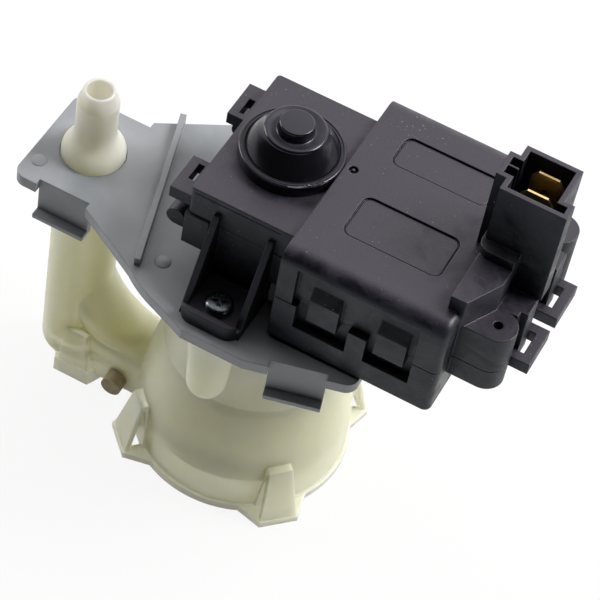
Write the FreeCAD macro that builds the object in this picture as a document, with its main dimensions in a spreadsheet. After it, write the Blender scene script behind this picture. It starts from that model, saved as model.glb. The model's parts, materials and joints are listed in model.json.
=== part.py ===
"""Dryer drain pump: a flat synchronous motor on a clip-on plate over a translucent pump cup.

The frame has +Z along the motor shaft, +X towards the terminal socket and +Y to the rear.
The origin is on the shaft axis, in the plane of the cup's rim.
"""
import FreeCAD, Part
import math
import os
import Sketcher
from FreeCAD import Placement, Rotation, Vector

# Every driving size in millimetres. Heights are measured up from the rim of the cup.
SIZES = {
    # Square rotor housing at the left of the motor
    "square_left": 11.5,
    "square_half": 16.8,
    "square_top": 81.8,
    "square_seam": 75.0,
    "square_floor": 67.0,
    "corner_block": 4.6,
    "corner_step": 0.4,
    # Coil box at the right of it
    "coilbox_left": 10.0,
    "coilbox_right": 43.0,
    "coilbox_half": 22.9,
    "coilbox_top": 84.0,
    "coilbox_seam": 71.8,
    "coilbox_floor": 61.0,
    "coilbox_round": 3.2,
    "corner_round": 1.5,
    "seam_gap": 0.15,
    "shell_wall": 1.6,
    "inner_half": 19.9,
    # Recessed side faces with their snap hooks and pockets
    "recess_left": 13.5,
    "recess_right": 37.9,
    "recess_depth": 1.4,
    "recess_top": 81.2,
    "pocket_floor": 66.0,
    "pocket_depth": 1.9,
    "post_width": 3.7,
    "post_centre": 26.85,
    "hook_width": 6.0,
    "hook_height": 8.0,
    "hook_ramp": 2.4,
    "ledge_width": 4.8,
    "ledge_reach": 0.5,
    "ledge_height": 0.6,
    "hook_drop": 2.2,
    "hook_reach": 1.5,
    # Right end: block between two bosses, and two slotted lugs
    "boss_centre": 48.8,
    "boss_spacing": 13.5,
    "boss_radius": 3.7,
    "boss_top": 80.5,
    "boss_floor": 66.7,
    "boss_hole": 0.9,
    "endblock_right": 51.0,
    "endblock_half": 9.8,
    "lug_right": 55.8,
    "lug_inner": 1.6,
    "lug_width": 9.3,
    "lug_thick": 2.6,
    "lug_drop": 0.8,
    "lug_bar": 2.0,
    "slot_length": 5.4,
    "arm_thick": 1.5,
    "arm_width": 4.6,
    "arm_floor": 67.4,
    # Left lugs and the knuckles below them
    "ear_reach": 4.8,
    "ear_inner": 6.4,
    "ear_width": 9.0,
    "ear_slot": 1.3,
    "ear_slot_length": 4.2,
    "ear_slot_inset": 1.8,
    "knuckle_radius": 1.9,
    "knuckle_length": 5.6,
    "knuckle_rise": 3.3,
    # Raised platform, plinth and terminal shroud
    "platform_left": 40.2,
    "platform_half": 17.8,
    "platform_neck": 10.4,
    "platform_right": 47.0,
    "platform_corner": 43.3,
    "platform_top": 87.3,
    "plinth_front": 6.8,
    "plinth_rise": 2.0,
    "plinth_round": 2.6,
    "shroud_left": 40.0,
    "shroud_right": 50.9,
    "shroud_front": 4.1,
    "shroud_rear": 7.9,
    "shroud_top": 102.6,
    "shroud_wall": 1.0,
    "socket_depth": 14.4,
    "key_reach": 2.0,
    "key_width": 3.7,
    "latch_rear": 5.0,
    "latch_width": 6.2,
    "latch_slot": 1.9,
    # Spade terminals
    "spade_width": 6.3,
    "spade_thick": 0.8,
    "spade_pitch": 5.0,
    "spade_rear": 5.2,
    "spade_centre": 45.95,
    "spade_inset": 1.9,
    "spade_root": 4.0,
    "spade_bevel": 1.1,
    "spade_hole": 0.9,
    # Fixing feet of the motor
    "foot_half": 6.2,
    "foot_margin": 5.1,
    "foot_lip": 1.3,
    "foot_lip_height": 1.7,
    "foot_thick": 1.8,
    "foot_round": 3.0,
    "gusset_thick": 1.3,
    "gusset_top": 78.0,
    "screw_radius": 1.45,
    "screw_out": 4.8,
    "screw_length": 12.0,
    "screw_head": 2.7,
    "screw_head_height": 1.9,
    "screw_clearance": 0.2,
    # Rotor, its bearings and the lost-motion clutch
    "neck_radius": 11.0,
    "shaft_radius": 1.5,
    "shaft_floor": 9.6,
    "running_gap": 0.05,
    "bearing_radius": 4.5,
    "bearing_length": 4.0,
    "bearing_seat": 4.6,
    "magnet_radius": 8.7,
    "magnet_floor": 69.7,
    "magnet_length": 7.4,
    "magnet_hub": 3.2,
    "dog_height": 1.5,
    "dog_width": 2.4,
    "dog_reach": 5.3,
    "driver_radius": 2.6,
    "dog_gap": 0.3,
    # Stator core and its two coils
    "core_gap": 0.6,
    "core_floor": 68.9,
    "core_thick": 8.6,
    "core_half": 15.0,
    "leg_width": 5.6,
    "pole_left": 9.7,
    "pole_width": 10.5,
    "core_right": 40.9,
    "bobbin_left": 13.0,
    "bobbin_length": 20.0,
    "bobbin_wall": 0.9,
    "bobbin_gap": 0.1,
    "flange_thick": 1.2,
    "winding_thick": 2.8,
    # Rubber cap over the upper bearing
    "cap_radius": 9.8,
    "cap_flange": 2.8,
    "cap_bell": 8.6,
    "cap_shoulder": 5.5,
    "cap_shoulder_rise": 7.3,
    "cap_nipple": 3.3,
    "cap_rise": 9.2,
    "cap_wall": 1.4,
    "cap_bore": 7.0,
    # Mounting plate with its ear, rib and clips
    "plate_top": 60.0,
    "plate_thick": 2.4,
    "plate_radius": 28.0,
    "plate_left": 49.0,
    "plate_front": 15.0,
    "plate_rear": 9.8,
    "plate_step": 1.4,
    "plate_step_left": 33.0,
    "plate_foot_margin": 2.0,
    "plate_foot_left": 3.8,
    "plate_foot_right": 9.0,
    "plate_right": 29.0,
    "plate_right_front": 24.4,
    "plate_right_rear": 10.0,
    "plate_corner": 2.5,
    "plate_hole_gap": 0.15,
    "plate_shaft_hole": 4.0,
    "plate_rib_width": 1.2,
    "plate_rib_height": 1.8,
    "clip_width": 10.9,
    "clip_height": 9.2,
    "clip_thick": 1.5,
    "clip_foot": 1.9,
    "clip_inset": 1.4,
    "clip_left": 43.8,
    "clip_angle": 15.5,
    "clip_front_x": 18.5,
    "clip_front_y": 25.95,
    # Pump cup
    "cup_radius": 21.9,
    "shoulder_floor": 6.0,
    "shoulder_top": 28.0,
    "throat_radius": 18.4,
    "cup_wall": 1.8,
    "rim_width": 0.7,
    "rim_height": 1.6,
    "skirt_wall": 2.4,
    "cover_seat": 9.5,
    "chamber_top": 24.0,
    "ceiling_thick": 1.6,
    "tube_radius": 4.6,
    "tube_top": 40.0,
    "tube_gap": 0.7,
    "seal_radius": 3.4,
    "seal_height": 3.0,
    # Riser tower, spigot and channel
    "tower_x": 39.0,
    "tower_y": 1.7,
    "tower_radius": 6.8,
    "tower_floor": 0.6,
    "tower_round": 5.0,
    "tower_wall": 2.4,
    "collar_radius": 6.3,
    "collar_top": 60.6,
    "spigot_foot": 66.0,
    "spigot_radius": 4.1,
    "spigot_lead": 74.1,
    "spigot_tip": 3.05,
    "spigot_top": 77.1,
    "spigot_bore": 2.5,
    "channel_centre": 10.8,
    "channel_bore": 3.8,
    "channel_floor": 2.4,
    "elbow_radius": 20.2,
    "channel_half": 6.3,
    "elbow_tube": 6.0,
    "plug_radius": 2.2,
    "plug_x": 25.3,
    "plug_height": 4.7,
    "plug_length": 4.6,
    "plug_depth": 2.4,
    # Lug loops round the rim and the screw bosses
    "loop_reach": 4.5,
    "loop_width": 8.0,
    "loop_flare": 3.4,
    "loop_height": 13.5,
    "loop_top_reach": 1.3,
    "loop_top_width": 4.8,
    "loop_flange": 1.5,
    "loop_wall": 1.4,
    "tower_loop_x": 35.1,
    "tower_loop_reach": 1.2,
    "tower_loop_top_reach": 0.2,
    "pillar_radius": 5.1,
    "pillar_tip": 3.9,
    "pillar_floor": 36.2,
    "pillar_web": 5.4,
    # Impeller and suction cover
    "impeller_radius": 14.5,
    "impeller_hub": 3.4,
    "impeller_floor": 10.7,
    "vane_height": 8.0,
    "vane_thick": 1.4,
    "impeller_disc": 1.4,
    "clip_ring_radius": 2.8,
    "clip_ring_thick": 0.8,
    "suction_thick": 2.0,
    "suction_gap": 0.05,
    "inlet_radius": 5.0,
    "inlet_wall": 1.2,
    "gasket_width": 1.0,
    "gasket_height": 0.8,
}
VANES = 6
LOOPS = 4


class Size:
    """A length kept both as a formula on the sheet and as a number."""

    def __init__(self, text, value):
        self.text = text
        self.value = value

    def __add__(self, other):
        return Size(f"({self.text} + {text_of(other)})", self.value + value_of(other))

    def __sub__(self, other):
        return Size(f"({self.text} - {text_of(other)})", self.value - value_of(other))

    def __rsub__(self, other):
        return Size(f"({text_of(other)} - {self.text})", value_of(other) - self.value)

    def __mul__(self, other):
        return Size(f"({self.text} * {text_of(other)})", self.value * value_of(other))

    def __truediv__(self, other):
        return Size(f"({self.text} / {text_of(other)})", self.value / value_of(other))

    def __neg__(self):
        return Size(f"(0 - {self.text})", -self.value)

    __radd__ = __add__
    __rmul__ = __mul__


def text_of(item):
    return item.text if isinstance(item, Size) else f"{item:.6f}"


def value_of(item):
    return item.value if isinstance(item, Size) else float(item)


doc = FreeCAD.newDocument("dryer_drain_pump")


def make_sheet():
    """Puts the driving sizes on a sheet and returns them by name."""
    sheet = doc.addObject("Spreadsheet::Sheet", "Sizes")
    sizes = {}
    for row, (name, value) in enumerate(SIZES.items(), start=1):
        sheet.set(f"A{row}", name)
        sheet.set(f"B{row}", str(value))
        sheet.setAlias(f"B{row}", name)
        sizes[name] = Size(f"Sizes.{name}", float(value))
    doc.recompute()
    return sizes


class Named:
    """Reads the sizes as attributes."""

    def __init__(self, sizes):
        self.__dict__.update(sizes)


S = Named(make_sheet())
BODIES = []


# Drawing helpers

def new_body(name):
    body = doc.addObject("PartDesign::Body", name)
    body.Label = name
    BODIES.append(body)
    return body


def bind(feature, prop, size):
    feature.setExpression(prop, text_of(size))


def place(feature, spot, turn=None):
    """Sets the fixed turn of a feature and ties its position to the sheet."""
    feature.Placement = Placement(Vector(*[value_of(part) for part in spot]), turn or Rotation())
    for axis, part in zip("xyz", spot):
        bind(feature, f"Placement.Base.{axis}", part)


def block(body, name, x, y, z, cut=False, turn=None):
    """A box from low to high along each axis."""
    kind = "PartDesign::SubtractiveBox" if cut else "PartDesign::AdditiveBox"
    feature = body.newObject(kind, name)
    for prop, span in zip(("Length", "Width", "Height"), (x, y, z)):
        bind(feature, prop, span[1] - span[0])
    place(feature, (x[0], y[0], z[0]), turn)
    return feature


ALONG = {
    "X": Rotation(Vector(0, 1, 0), 90),
    "Y": Rotation(Vector(1, 0, 0), -90),
    "Z": Rotation(),
}


def rod(body, name, spot, length, radius, cut=False, axis="Z"):
    """A round bar or bore from a start point along an axis."""
    kind = "PartDesign::SubtractiveCylinder" if cut else "PartDesign::AdditiveCylinder"
    feature = body.newObject(kind, name)
    bind(feature, "Radius", radius)
    bind(feature, "Height", length)
    place(feature, spot, ALONG[axis])
    return feature


def cone(body, name, spot, length, start, end, cut=False):
    kind = "PartDesign::SubtractiveCone" if cut else "PartDesign::AdditiveCone"
    feature = body.newObject(kind, name)
    bind(feature, "Radius1", start)
    bind(feature, "Radius2", end)
    bind(feature, "Height", length)
    place(feature, spot)
    return feature


def wedge(body, name, spot, turn, base, top, depth, height, cut=False):
    """A block whose far side moves in, as deep as depth both ways."""
    kind = "PartDesign::SubtractiveWedge" if cut else "PartDesign::AdditiveWedge"
    feature = body.newObject(kind, name)
    ends = {"Xmin": base[0], "Xmax": base[1], "X2min": top[0], "X2max": top[1],
            "Zmin": depth[0], "Zmax": depth[1], "Z2min": depth[0], "Z2max": depth[1],
            "Ymin": 0, "Ymax": height}
    for prop, size in ends.items():
        bind(feature, prop, size)
    place(feature, spot, turn)
    return feature


def flat_sketch(body, name, role, rise, shift=(0, 0)):
    """A sketch on one of the body's own planes, moved along its normal and in the plane."""
    sketch = body.newObject("Sketcher::SketchObject", name)
    planes = {item.Role: item for item in body.Origin.OriginFeatures}
    sketch.AttachmentSupport = [(planes[role], "")]
    sketch.MapMode = "FlatFace"
    for axis, part in zip("xyz", (shift[0], shift[1], rise)):
        bind(sketch, f"AttachmentOffset.Base.{axis}", part)
    return sketch


def outline(sketch, corners, arcs=(), hollows=()):
    """A closed line through the corners, each fixed by its two distances from the origin.

    The corners run round with the inside on their left. arcs gives the radius of each round
    stretch by its number, and the set hollows holds the numbers of those that curve inwards.
    """
    arcs = dict(arcs)
    spots = [Vector(value_of(x), value_of(y), 0) for x, y in corners]
    count = len(corners)
    first = [2 if i in hollows else 1 for i in range(count)]
    for i, start in enumerate(spots):
        end = spots[(i + 1) % count]
        if i in hollows:
            sketch.addGeometry(bulge(end, start, value_of(arcs[i])), False)
        elif i in arcs:
            sketch.addGeometry(bulge(start, end, value_of(arcs[i])), False)
        else:
            sketch.addGeometry(Part.LineSegment(start, end), False)
    for i in range(count):
        after = (i + 1) % count
        sketch.addConstraint(
            Sketcher.Constraint("Coincident", i, 3 - first[i], after, first[after]))
    for i, corner in enumerate(corners):
        for kind, size in zip(("DistanceX", "DistanceY"), corner):
            number = sketch.addConstraint(
                Sketcher.Constraint(kind, -1, 1, i, first[i], value_of(size)))
            sketch.setExpression(f"Constraints[{number}]", text_of(size))
    for i, radius in arcs.items():
        number = sketch.addConstraint(Sketcher.Constraint("Radius", i, value_of(radius)))
        sketch.setExpression(f"Constraints[{number}]", text_of(radius))
    return sketch


def bulge(start, end, radius):
    """The short arc from start to end whose centre lies to the left of the way."""
    chord = end - start
    middle = (start + end) * 0.5
    side = Vector(-chord.y, chord.x, 0).normalize()
    rise = math.sqrt(radius ** 2 - (chord.Length / 2) ** 2)
    centre = middle + side * rise
    first = math.atan2(start.y - centre.y, start.x - centre.x)
    last = math.atan2(end.y - centre.y, end.x - centre.x)
    circle = Part.Circle(centre, Vector(0, 0, 1), radius)
    return Part.ArcOfCircle(circle, first, last)


def pad(body, name, sketch, length, back=False):
    feature = body.newObject("PartDesign::Pad", name)
    feature.Profile = sketch
    bind(feature, "Length", length)
    feature.Reversed = back
    sketch.Visibility = False
    return feature


def spin(body, name, sketch, cut=False):
    """Turns a sketch about its own upright axis."""
    feature = body.newObject("PartDesign::Groove" if cut else "PartDesign::Revolution", name)
    feature.Profile = sketch
    feature.ReferenceAxis = (sketch, ["V_Axis"])
    feature.Angle = 360
    return feature


def polar(body, name, features, count):
    """Repeats features evenly round the shaft axis."""
    axes = {item.Role: item for item in body.Origin.OriginFeatures}
    feature = body.newObject("PartDesign::PolarPattern", name)
    feature.Originals = features
    feature.Axis = (axes["Z_Axis"], [""])
    feature.Angle = 360
    feature.Occurrences = count
    body.Tip = feature
    return feature


def soften(body, name, radius, wanted):
    """Rounds the edges of the body's present shape that the test picks out."""
    doc.recompute()
    base = body.Tip
    edges = [f"Edge{i}" for i, edge in enumerate(base.Shape.Edges, start=1) if wanted(edge)]
    feature = body.newObject("PartDesign::Fillet", name)
    feature.Base = (base, edges)
    bind(feature, "Radius", radius)
    return feature


def near(first, second):
    return abs(value_of(first) - value_of(second)) < 0.01


def straight_edge(edge, axis, **spots):
    """True for an edge along the axis whose middle lies at the given places."""
    box = edge.BoundBox
    spans = {"x": box.XLength, "y": box.YLength, "z": box.ZLength}
    if any(span > 0.01 for name, span in spans.items() if name != axis):
        return False
    middle = {"x": box.Center.x, "y": box.Center.y, "z": box.Center.z}
    return all(any(near(middle[name], spot) for spot in wanted)
               for name, wanted in spots.items())


def ring_edge(edge, radius, height):
    curve = edge.Curve
    if not isinstance(curve, Part.Circle):
        return False
    return near(curve.Radius, radius) and near(curve.Center.z, height)


UP = Rotation(Vector(1, 0, 0), 90)
SIDES = {"front": -1, "rear": 1}


def screw_reach():
    """The plate screws stand just outside the cup's throat."""
    return S.throat_radius + S.screw_out


def foot_reach():
    return screw_reach() + S.foot_margin


def chamber_radius():
    return S.throat_radius - S.cup_wall


def span(side, near_end, far_end):
    """The low and high ends of a stretch on the front (-1) or rear (1) side."""
    if side > 0:
        return near_end, far_end
    return -far_end, -near_end


# Motor housing

def end_block(body, floor, height):
    """The block at the terminal end, with its two round bosses."""
    low = S.coilbox_right - S.shell_wall
    width = S.boss_spacing + S.boss_radius
    top = floor + height
    block(body, "end_wide", (low, S.boss_centre), (-width, width), (floor, top))
    block(body, "end_narrow", (low, S.endblock_right), (-S.endblock_half, S.endblock_half),
          (floor, top))
    for name, side in SIDES.items():
        spot = (S.boss_centre, side * S.boss_spacing, floor)
        rod(body, f"end_boss_{name}", spot, height, S.boss_radius)


def cover_hooks(body, name, side):
    """Two snap hooks on a recessed side face, in line with the pockets below."""
    face = S.coilbox_half - S.recess_depth
    turn = Rotation(Vector(0, 0, 1), 90 * side) * UP
    root = S.pocket_depth / 4
    floor = S.coilbox_seam - S.hook_drop
    ramp = floor + S.hook_height - S.hook_ramp
    half = S.hook_width / 2
    ledge = S.ledge_width / 2
    for label, centre in pocket_centres():
        block(body, f"hook_{label}_{name}", (centre - half, centre + half),
              span(side, face - root, face + S.hook_reach), (floor, ramp))
        wedge(body, f"hook_ramp_{label}_{name}", (centre, side * (face - root), ramp), turn,
              (0, S.hook_reach + root), (0, root), (-half, half), S.hook_ramp)
        block(body, f"ledge_{label}_{name}", (centre - ledge, centre + ledge),
              span(side, face - root, face + S.ledge_reach),
              (S.recess_top - 2 * S.ledge_height, S.recess_top - S.ledge_height))


def pocket_spans():
    """The two pockets along the side of the coil box, left and right of the middle post."""
    half = S.post_width / 2
    return (("left", S.recess_left + 1, S.post_centre - half),
            ("right", S.post_centre + half, S.recess_right))


def pocket_centres():
    return [(label, (low + high) / 2) for label, low, high in pocket_spans()]


def shroud(body):
    """The keyed socket for the supply plug, with latch slots on its left."""
    floor = S.boss_top
    top = S.shroud_top
    wall = S.shroud_wall
    block(body, "plinth", (S.shroud_left - wall / 2, S.platform_right),
          (-S.plinth_front, S.shroud_rear + wall / 2), (floor, S.platform_top + S.plinth_rise))
    soften(body, "plinth_rounds", S.plinth_round,
           lambda edge: straight_edge(edge, "z", x=[S.shroud_left - wall / 2]))
    block(body, "shroud_main", (S.shroud_left, S.shroud_right),
          (-S.shroud_front, S.shroud_rear), (floor, top))
    block(body, "shroud_key", (S.shroud_right - wall, S.shroud_right + S.key_reach),
          (-S.shroud_front, S.key_width - S.shroud_front), (floor, top))
    block(body, "shroud_latch", (S.shroud_left - S.key_reach, S.shroud_left + wall),
          (S.latch_rear - S.latch_width, S.latch_rear), (S.coilbox_top - wall, top))


def shroud_hollow(body):
    floor = S.shroud_top - S.socket_depth
    wall = S.shroud_wall
    over = S.shroud_top + wall
    block(body, "socket", (S.shroud_left + wall, S.shroud_right - wall),
          (wall - S.shroud_front, S.shroud_rear - wall), (floor, over), cut=True)
    block(body, "socket_key", (S.shroud_right - 2 * wall, S.shroud_right + S.key_reach - wall),
          (wall - S.shroud_front, S.key_width - wall - S.shroud_front), (floor, over), cut=True)
    for label, low in (("rear", S.latch_rear - wall - S.latch_slot),
                       ("front", S.latch_rear - S.latch_width + wall)):
        block(body, f"latch_slot_{label}",
              (S.shroud_left - S.key_reach + wall, S.shroud_left + 2 * wall),
              (low, low + S.latch_slot), (floor, over), cut=True)
    for name, y in spade_rows():
        half = S.spade_width / 2
        block(body, f"spade_slot_{name}", (S.spade_centre - half, S.spade_centre + half),
              (y - S.spade_thick / 2, y + S.spade_thick / 2), (floor - S.spade_root, over), cut=True)


def spade_rows():
    return (("rear", S.spade_rear), ("front", S.spade_rear - S.spade_pitch))


def end_arms(body):
    """Two arms that reach down from the cover into the slots of the right lugs."""
    left = S.endblock_right
    centre = S.lug_inner + S.lug_width / 2
    half = S.arm_width / 2
    for name, side in SIDES.items():
        y = side * centre
        block(body, f"arm_{name}", (left - S.arm_thick, left + S.arm_thick), (y - half, y + half),
              (S.coilbox_seam, S.boss_top), turn=None)
        block(body, f"arm_tip_{name}", (left + S.running_gap, left + S.arm_thick),
              (y - half, y + half), (S.arm_floor, S.coilbox_seam))


def left_ears(body):
    """Slotted ears on the left of the cover."""
    left = -(S.square_left + S.ear_reach)
    slot_low = left + S.ear_slot_inset
    for name, side in SIDES.items():
        block(body, f"ear_{name}", (left, -S.square_left),
              span(side, S.ear_inner, S.ear_inner + S.ear_width),
              (S.square_seam, S.square_seam + S.lug_thick))
        start = S.ear_inner + S.ear_slot
        block(body, f"ear_slot_{name}", (slot_low, slot_low + S.ear_slot),
              span(side, start, start + S.ear_slot_length),
              (S.square_seam - 1, S.square_seam + S.lug_thick + 1), cut=True)


def platform(body):
    sketch = flat_sketch(body, "platform_sketch", "XY_Plane", S.boss_top)
    corners = [(S.platform_left, -S.platform_half), (S.platform_corner, -S.platform_half),
               (S.platform_right, -S.platform_neck), (S.platform_right, S.platform_neck),
               (S.platform_corner, S.platform_half), (S.platform_left, S.platform_half)]
    outline(sketch, corners)
    pad(body, "platform", sketch, S.platform_top - S.boss_top)


def motor_cover():
    body = new_body("motor_cover")
    block(body, "coilbox", (S.coilbox_left, S.coilbox_right), (-S.coilbox_half, S.coilbox_half),
          (S.coilbox_seam, S.coilbox_top))
    soften(body, "coilbox_rounds", S.coilbox_round,
           lambda edge: straight_edge(edge, "x", z=[S.coilbox_top]))
    soften(body, "coilbox_corners", S.corner_round,
           lambda edge: straight_edge(edge, "z", x=[S.coilbox_right]))
    block(body, "square", (-S.square_left, S.coilbox_left + S.shell_wall),
          (-S.square_half, S.square_half), (S.square_seam, S.square_top))
    soften(body, "square_corners", S.corner_round / 2,
           lambda edge: straight_edge(edge, "z", x=[-S.square_left]))
    end_block(body, S.coilbox_seam, S.boss_top - S.coilbox_seam)
    platform(body)
    shroud(body)
    end_arms(body)
    left_ears(body)
    for name, side in SIDES.items():
        face = S.coilbox_half - S.recess_depth
        block(body, f"recess_{name}", (S.recess_left, S.recess_right),
              span(side, face, S.coilbox_half + 1), (S.coilbox_seam - 1, S.recess_top), cut=True)
        cover_hooks(body, name, side)
    wall = S.shell_wall
    block(body, "coil_space", (S.coilbox_left + wall, S.coilbox_right - wall),
          (-S.inner_half, S.inner_half), (S.coilbox_seam - 1, S.coilbox_top - wall), cut=True)
    inner = S.square_half - wall
    block(body, "rotor_space", (wall - S.square_left, S.coilbox_left + 2 * wall), (-inner, inner),
          (S.coilbox_seam - 1, S.square_top - wall), cut=True)
    shroud_hollow(body)
    rod(body, "bearing_hole", (0, 0, S.square_top - 2 * wall), 3 * wall, S.bearing_radius, cut=True)
    for name, side in SIDES.items():
        spot = (S.boss_centre, side * S.boss_spacing, S.boss_top - 3 * wall)
        rod(body, f"boss_hole_{name}", spot, 4 * wall, S.boss_hole, cut=True)


def motor_base():
    body = new_body("motor_base")
    wall = S.shell_wall
    seam = S.coilbox_seam - S.seam_gap
    block(body, "tray", (S.coilbox_left, S.coilbox_right), (-S.coilbox_half, S.coilbox_half),
          (S.coilbox_floor, seam))
    soften(body, "tray_corners", S.corner_round,
           lambda edge: straight_edge(edge, "z", x=[S.coilbox_right]))
    block(body, "square_tray", (-S.square_left, S.coilbox_left),
          (-S.square_half, S.square_half), (S.square_floor, S.square_seam - S.seam_gap))
    block(body, "corner_block", (-(S.square_left + S.corner_step), S.corner_block - S.square_left),
          (-(S.square_half + S.corner_step), S.corner_block - S.square_half),
          (S.square_floor, S.square_seam - S.seam_gap))
    rod(body, "neck", (0, 0, S.plate_top), S.square_floor - S.plate_top + wall, S.neck_radius)
    end_block(body, S.boss_floor, seam - S.boss_floor)
    right_lugs(body)
    knuckles(body)
    for name, side in SIDES.items():
        foot(body, name, side)
        for label, low, high in pocket_spans():
            block(body, f"pocket_{label}_{name}", (low, high),
                  span(side, S.coilbox_half - S.pocket_depth, S.coilbox_half + 1),
                  (S.pocket_floor, S.coilbox_seam + 1), cut=True)
    block(body, "coil_space", (S.coilbox_left + wall, S.coilbox_right - wall),
          (-S.inner_half, S.inner_half), (S.coilbox_floor + wall, S.coilbox_seam + 1), cut=True)
    inner = S.square_half - wall
    block(body, "rotor_space", (wall - S.square_left, S.coilbox_left + 2 * wall), (-inner, inner),
          (S.square_floor + wall, S.square_seam + 1), cut=True)
    rod(body, "bearing_hole", (0, 0, S.square_floor + wall - S.bearing_seat), S.bearing_seat + 1,
        S.bearing_radius, cut=True)
    rod(body, "shaft_hole", (0, 0, S.plate_top - 1), S.square_floor - S.plate_top + 1,
        S.shaft_radius + S.tube_gap, cut=True)


def right_lugs(body):
    """Slotted lugs on the right of the base, which take the arms of the cover."""
    top = S.coilbox_seam - S.lug_drop
    centre = S.lug_inner + S.lug_width / 2
    for name, side in SIDES.items():
        block(body, f"lug_{name}", (S.endblock_right - S.shell_wall, S.lug_right),
              span(side, S.lug_inner, S.lug_inner + S.lug_width), (top - S.lug_thick, top))
        y = side * centre
        half = S.slot_length / 2
        block(body, f"lug_slot_{name}", (S.endblock_right, S.lug_right - S.lug_bar),
              (y - half, y + half), (top - S.lug_thick - 1, top + 1), cut=True)


def knuckles(body):
    """Round catches under the ears of the cover."""
    height = S.square_floor + S.knuckle_rise
    x = -(S.square_left + S.ear_reach - S.knuckle_radius)
    for name, side in SIDES.items():
        far = S.ear_inner + S.ear_width
        low, high = span(side, far - S.knuckle_length, far)
        rod(body, f"knuckle_{name}", (x, low, height), S.knuckle_length, S.knuckle_radius, axis="Y")
        block(body, f"knuckle_web_{name}", (x, S.shell_wall / 2 - S.square_left), (low, high),
              (height - S.knuckle_radius, height))


def foot(body, name, side):
    """A fixing foot on the plate, with a gusset along each edge."""
    floor = S.plate_top
    top = floor + S.foot_thick
    inner = S.square_half - S.shell_wall
    block(body, f"foot_{name}", (-S.foot_half, S.foot_half), span(side, inner, foot_reach()),
          (floor, top))
    block(body, f"foot_root_{name}", (-S.foot_half, S.foot_half), span(side, inner, S.square_half),
          (floor, S.square_seam))
    block(body, f"foot_lip_{name}", (-S.foot_half, S.foot_half),
          span(side, foot_reach() - S.foot_lip, foot_reach()), (floor, top + S.foot_lip_height))
    soften(body, f"foot_rounds_{name}", S.foot_round,
           lambda edge: straight_edge(edge, "z", y=[side * foot_reach()]))
    turn = Rotation(Vector(0, 0, 1), 90 * side) * UP
    for label, centre in (("left", S.gusset_thick / 2 - S.foot_half),
                          ("right", S.foot_half - S.gusset_thick / 2)):
        half = S.gusset_thick / 2
        wedge(body, f"gusset_{label}_{name}", (centre, side * S.square_half, floor), turn,
              (0, foot_reach() - S.square_half - S.foot_round / 2), (0, S.foot_thick / 2),
              (-half, half), S.gusset_top - floor)
    rod(body, f"screw_hole_{name}", (0, side * screw_reach(), floor - 1), S.foot_thick + 2,
        S.screw_radius + S.screw_clearance, cut=True)


# Stator

def stator_core():
    body = new_body("stator_core")
    z = (S.core_floor, S.core_floor + S.core_thick)
    block(body, "yoke", (S.core_right - S.leg_width, S.core_right), (-S.core_half, S.core_half), z)
    for name, side in SIDES.items():
        block(body, f"leg_{name}", (-S.pole_left, S.core_right),
              span(side, S.core_half - S.leg_width, S.core_half), z)
        block(body, f"pole_{name}", (-S.pole_left, S.pole_left),
              span(side, S.core_half - S.pole_width, S.core_half), z)
    bore = S.magnet_radius + S.core_gap
    rod(body, "rotor_bore", (0, 0, S.core_floor - 1), S.core_thick + 2, bore, cut=True)


def coil_window(grow):
    """The half width and half height of a frame that stands grow off the core's leg."""
    return S.leg_width / 2 + grow, S.core_thick / 2 + grow


def coil_bobbin(name, side):
    body = new_body(f"coil_bobbin_{name}")
    y = side * (S.core_half - S.leg_width / 2)
    z = S.core_floor + S.core_thick / 2
    x = (S.bobbin_left, S.bobbin_left + S.bobbin_length)
    frame(body, "tube", x, y, z, S.bobbin_gap + S.bobbin_wall)
    reach = S.bobbin_gap + S.bobbin_wall + S.winding_thick
    frame(body, "flange_left", (x[0], x[0] + S.flange_thick), y, z, reach)
    frame(body, "flange_right", (x[1] - S.flange_thick, x[1]), y, z, reach)
    frame(body, "leg_hole", (x[0] - 1, x[1] + 1), y, z, S.bobbin_gap, cut=True)


def frame(body, name, x, y, z, grow, cut=False):
    wide, tall = coil_window(grow)
    return block(body, name, x, (y - wide, y + wide), (z - tall, z + tall), cut=cut)


def coil_winding(name, side):
    """The copper layers between the bobbin's flanges."""
    body = new_body(f"coil_winding_{name}")
    y = side * (S.core_half - S.leg_width / 2)
    z = S.core_floor + S.core_thick / 2
    left = S.bobbin_left + S.flange_thick
    right = S.bobbin_left + S.bobbin_length - S.flange_thick
    inner = S.bobbin_gap + S.bobbin_wall
    frame(body, "layers", (left, right), y, z, inner + S.winding_thick * 0.86)
    frame(body, "tube_hole", (left - 1, right + 1), y, z, inner, cut=True)


def spade_terminal(name, y):
    body = new_body(f"spade_terminal_{name}")
    floor = S.shroud_top - S.socket_depth - S.spade_root
    half = S.spade_width / 2
    sketch = flat_sketch(body, "blade_sketch", "XZ_Plane", -(y - S.spade_thick / 2))
    left = S.spade_centre - half
    right = S.spade_centre + half
    shoulder = (S.shroud_top - S.spade_inset) - S.spade_bevel
    corners = [(left, floor), (right, floor), (right, shoulder),
               (right - S.spade_bevel, (S.shroud_top - S.spade_inset)), (left + S.spade_bevel, (S.shroud_top - S.spade_inset)),
               (left, shoulder)]
    outline(sketch, corners)
    pad(body, "blade", sketch, S.spade_thick, back=True)
    rod(body, "blade_hole", (S.spade_centre, y - S.spade_thick, shoulder - S.spade_width / 2),
        2 * S.spade_thick, S.spade_hole, cut=True, axis="Y")


# Rotor and shaft

def sleeve(name, floor, length, inner, outer):
    """A plain ring round the shaft axis."""
    body = new_body(name)
    rod(body, "ring", (0, 0, floor), length, outer)
    rod(body, "bore", (0, 0, floor - 1), length + 2, inner, cut=True)
    return body


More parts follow.
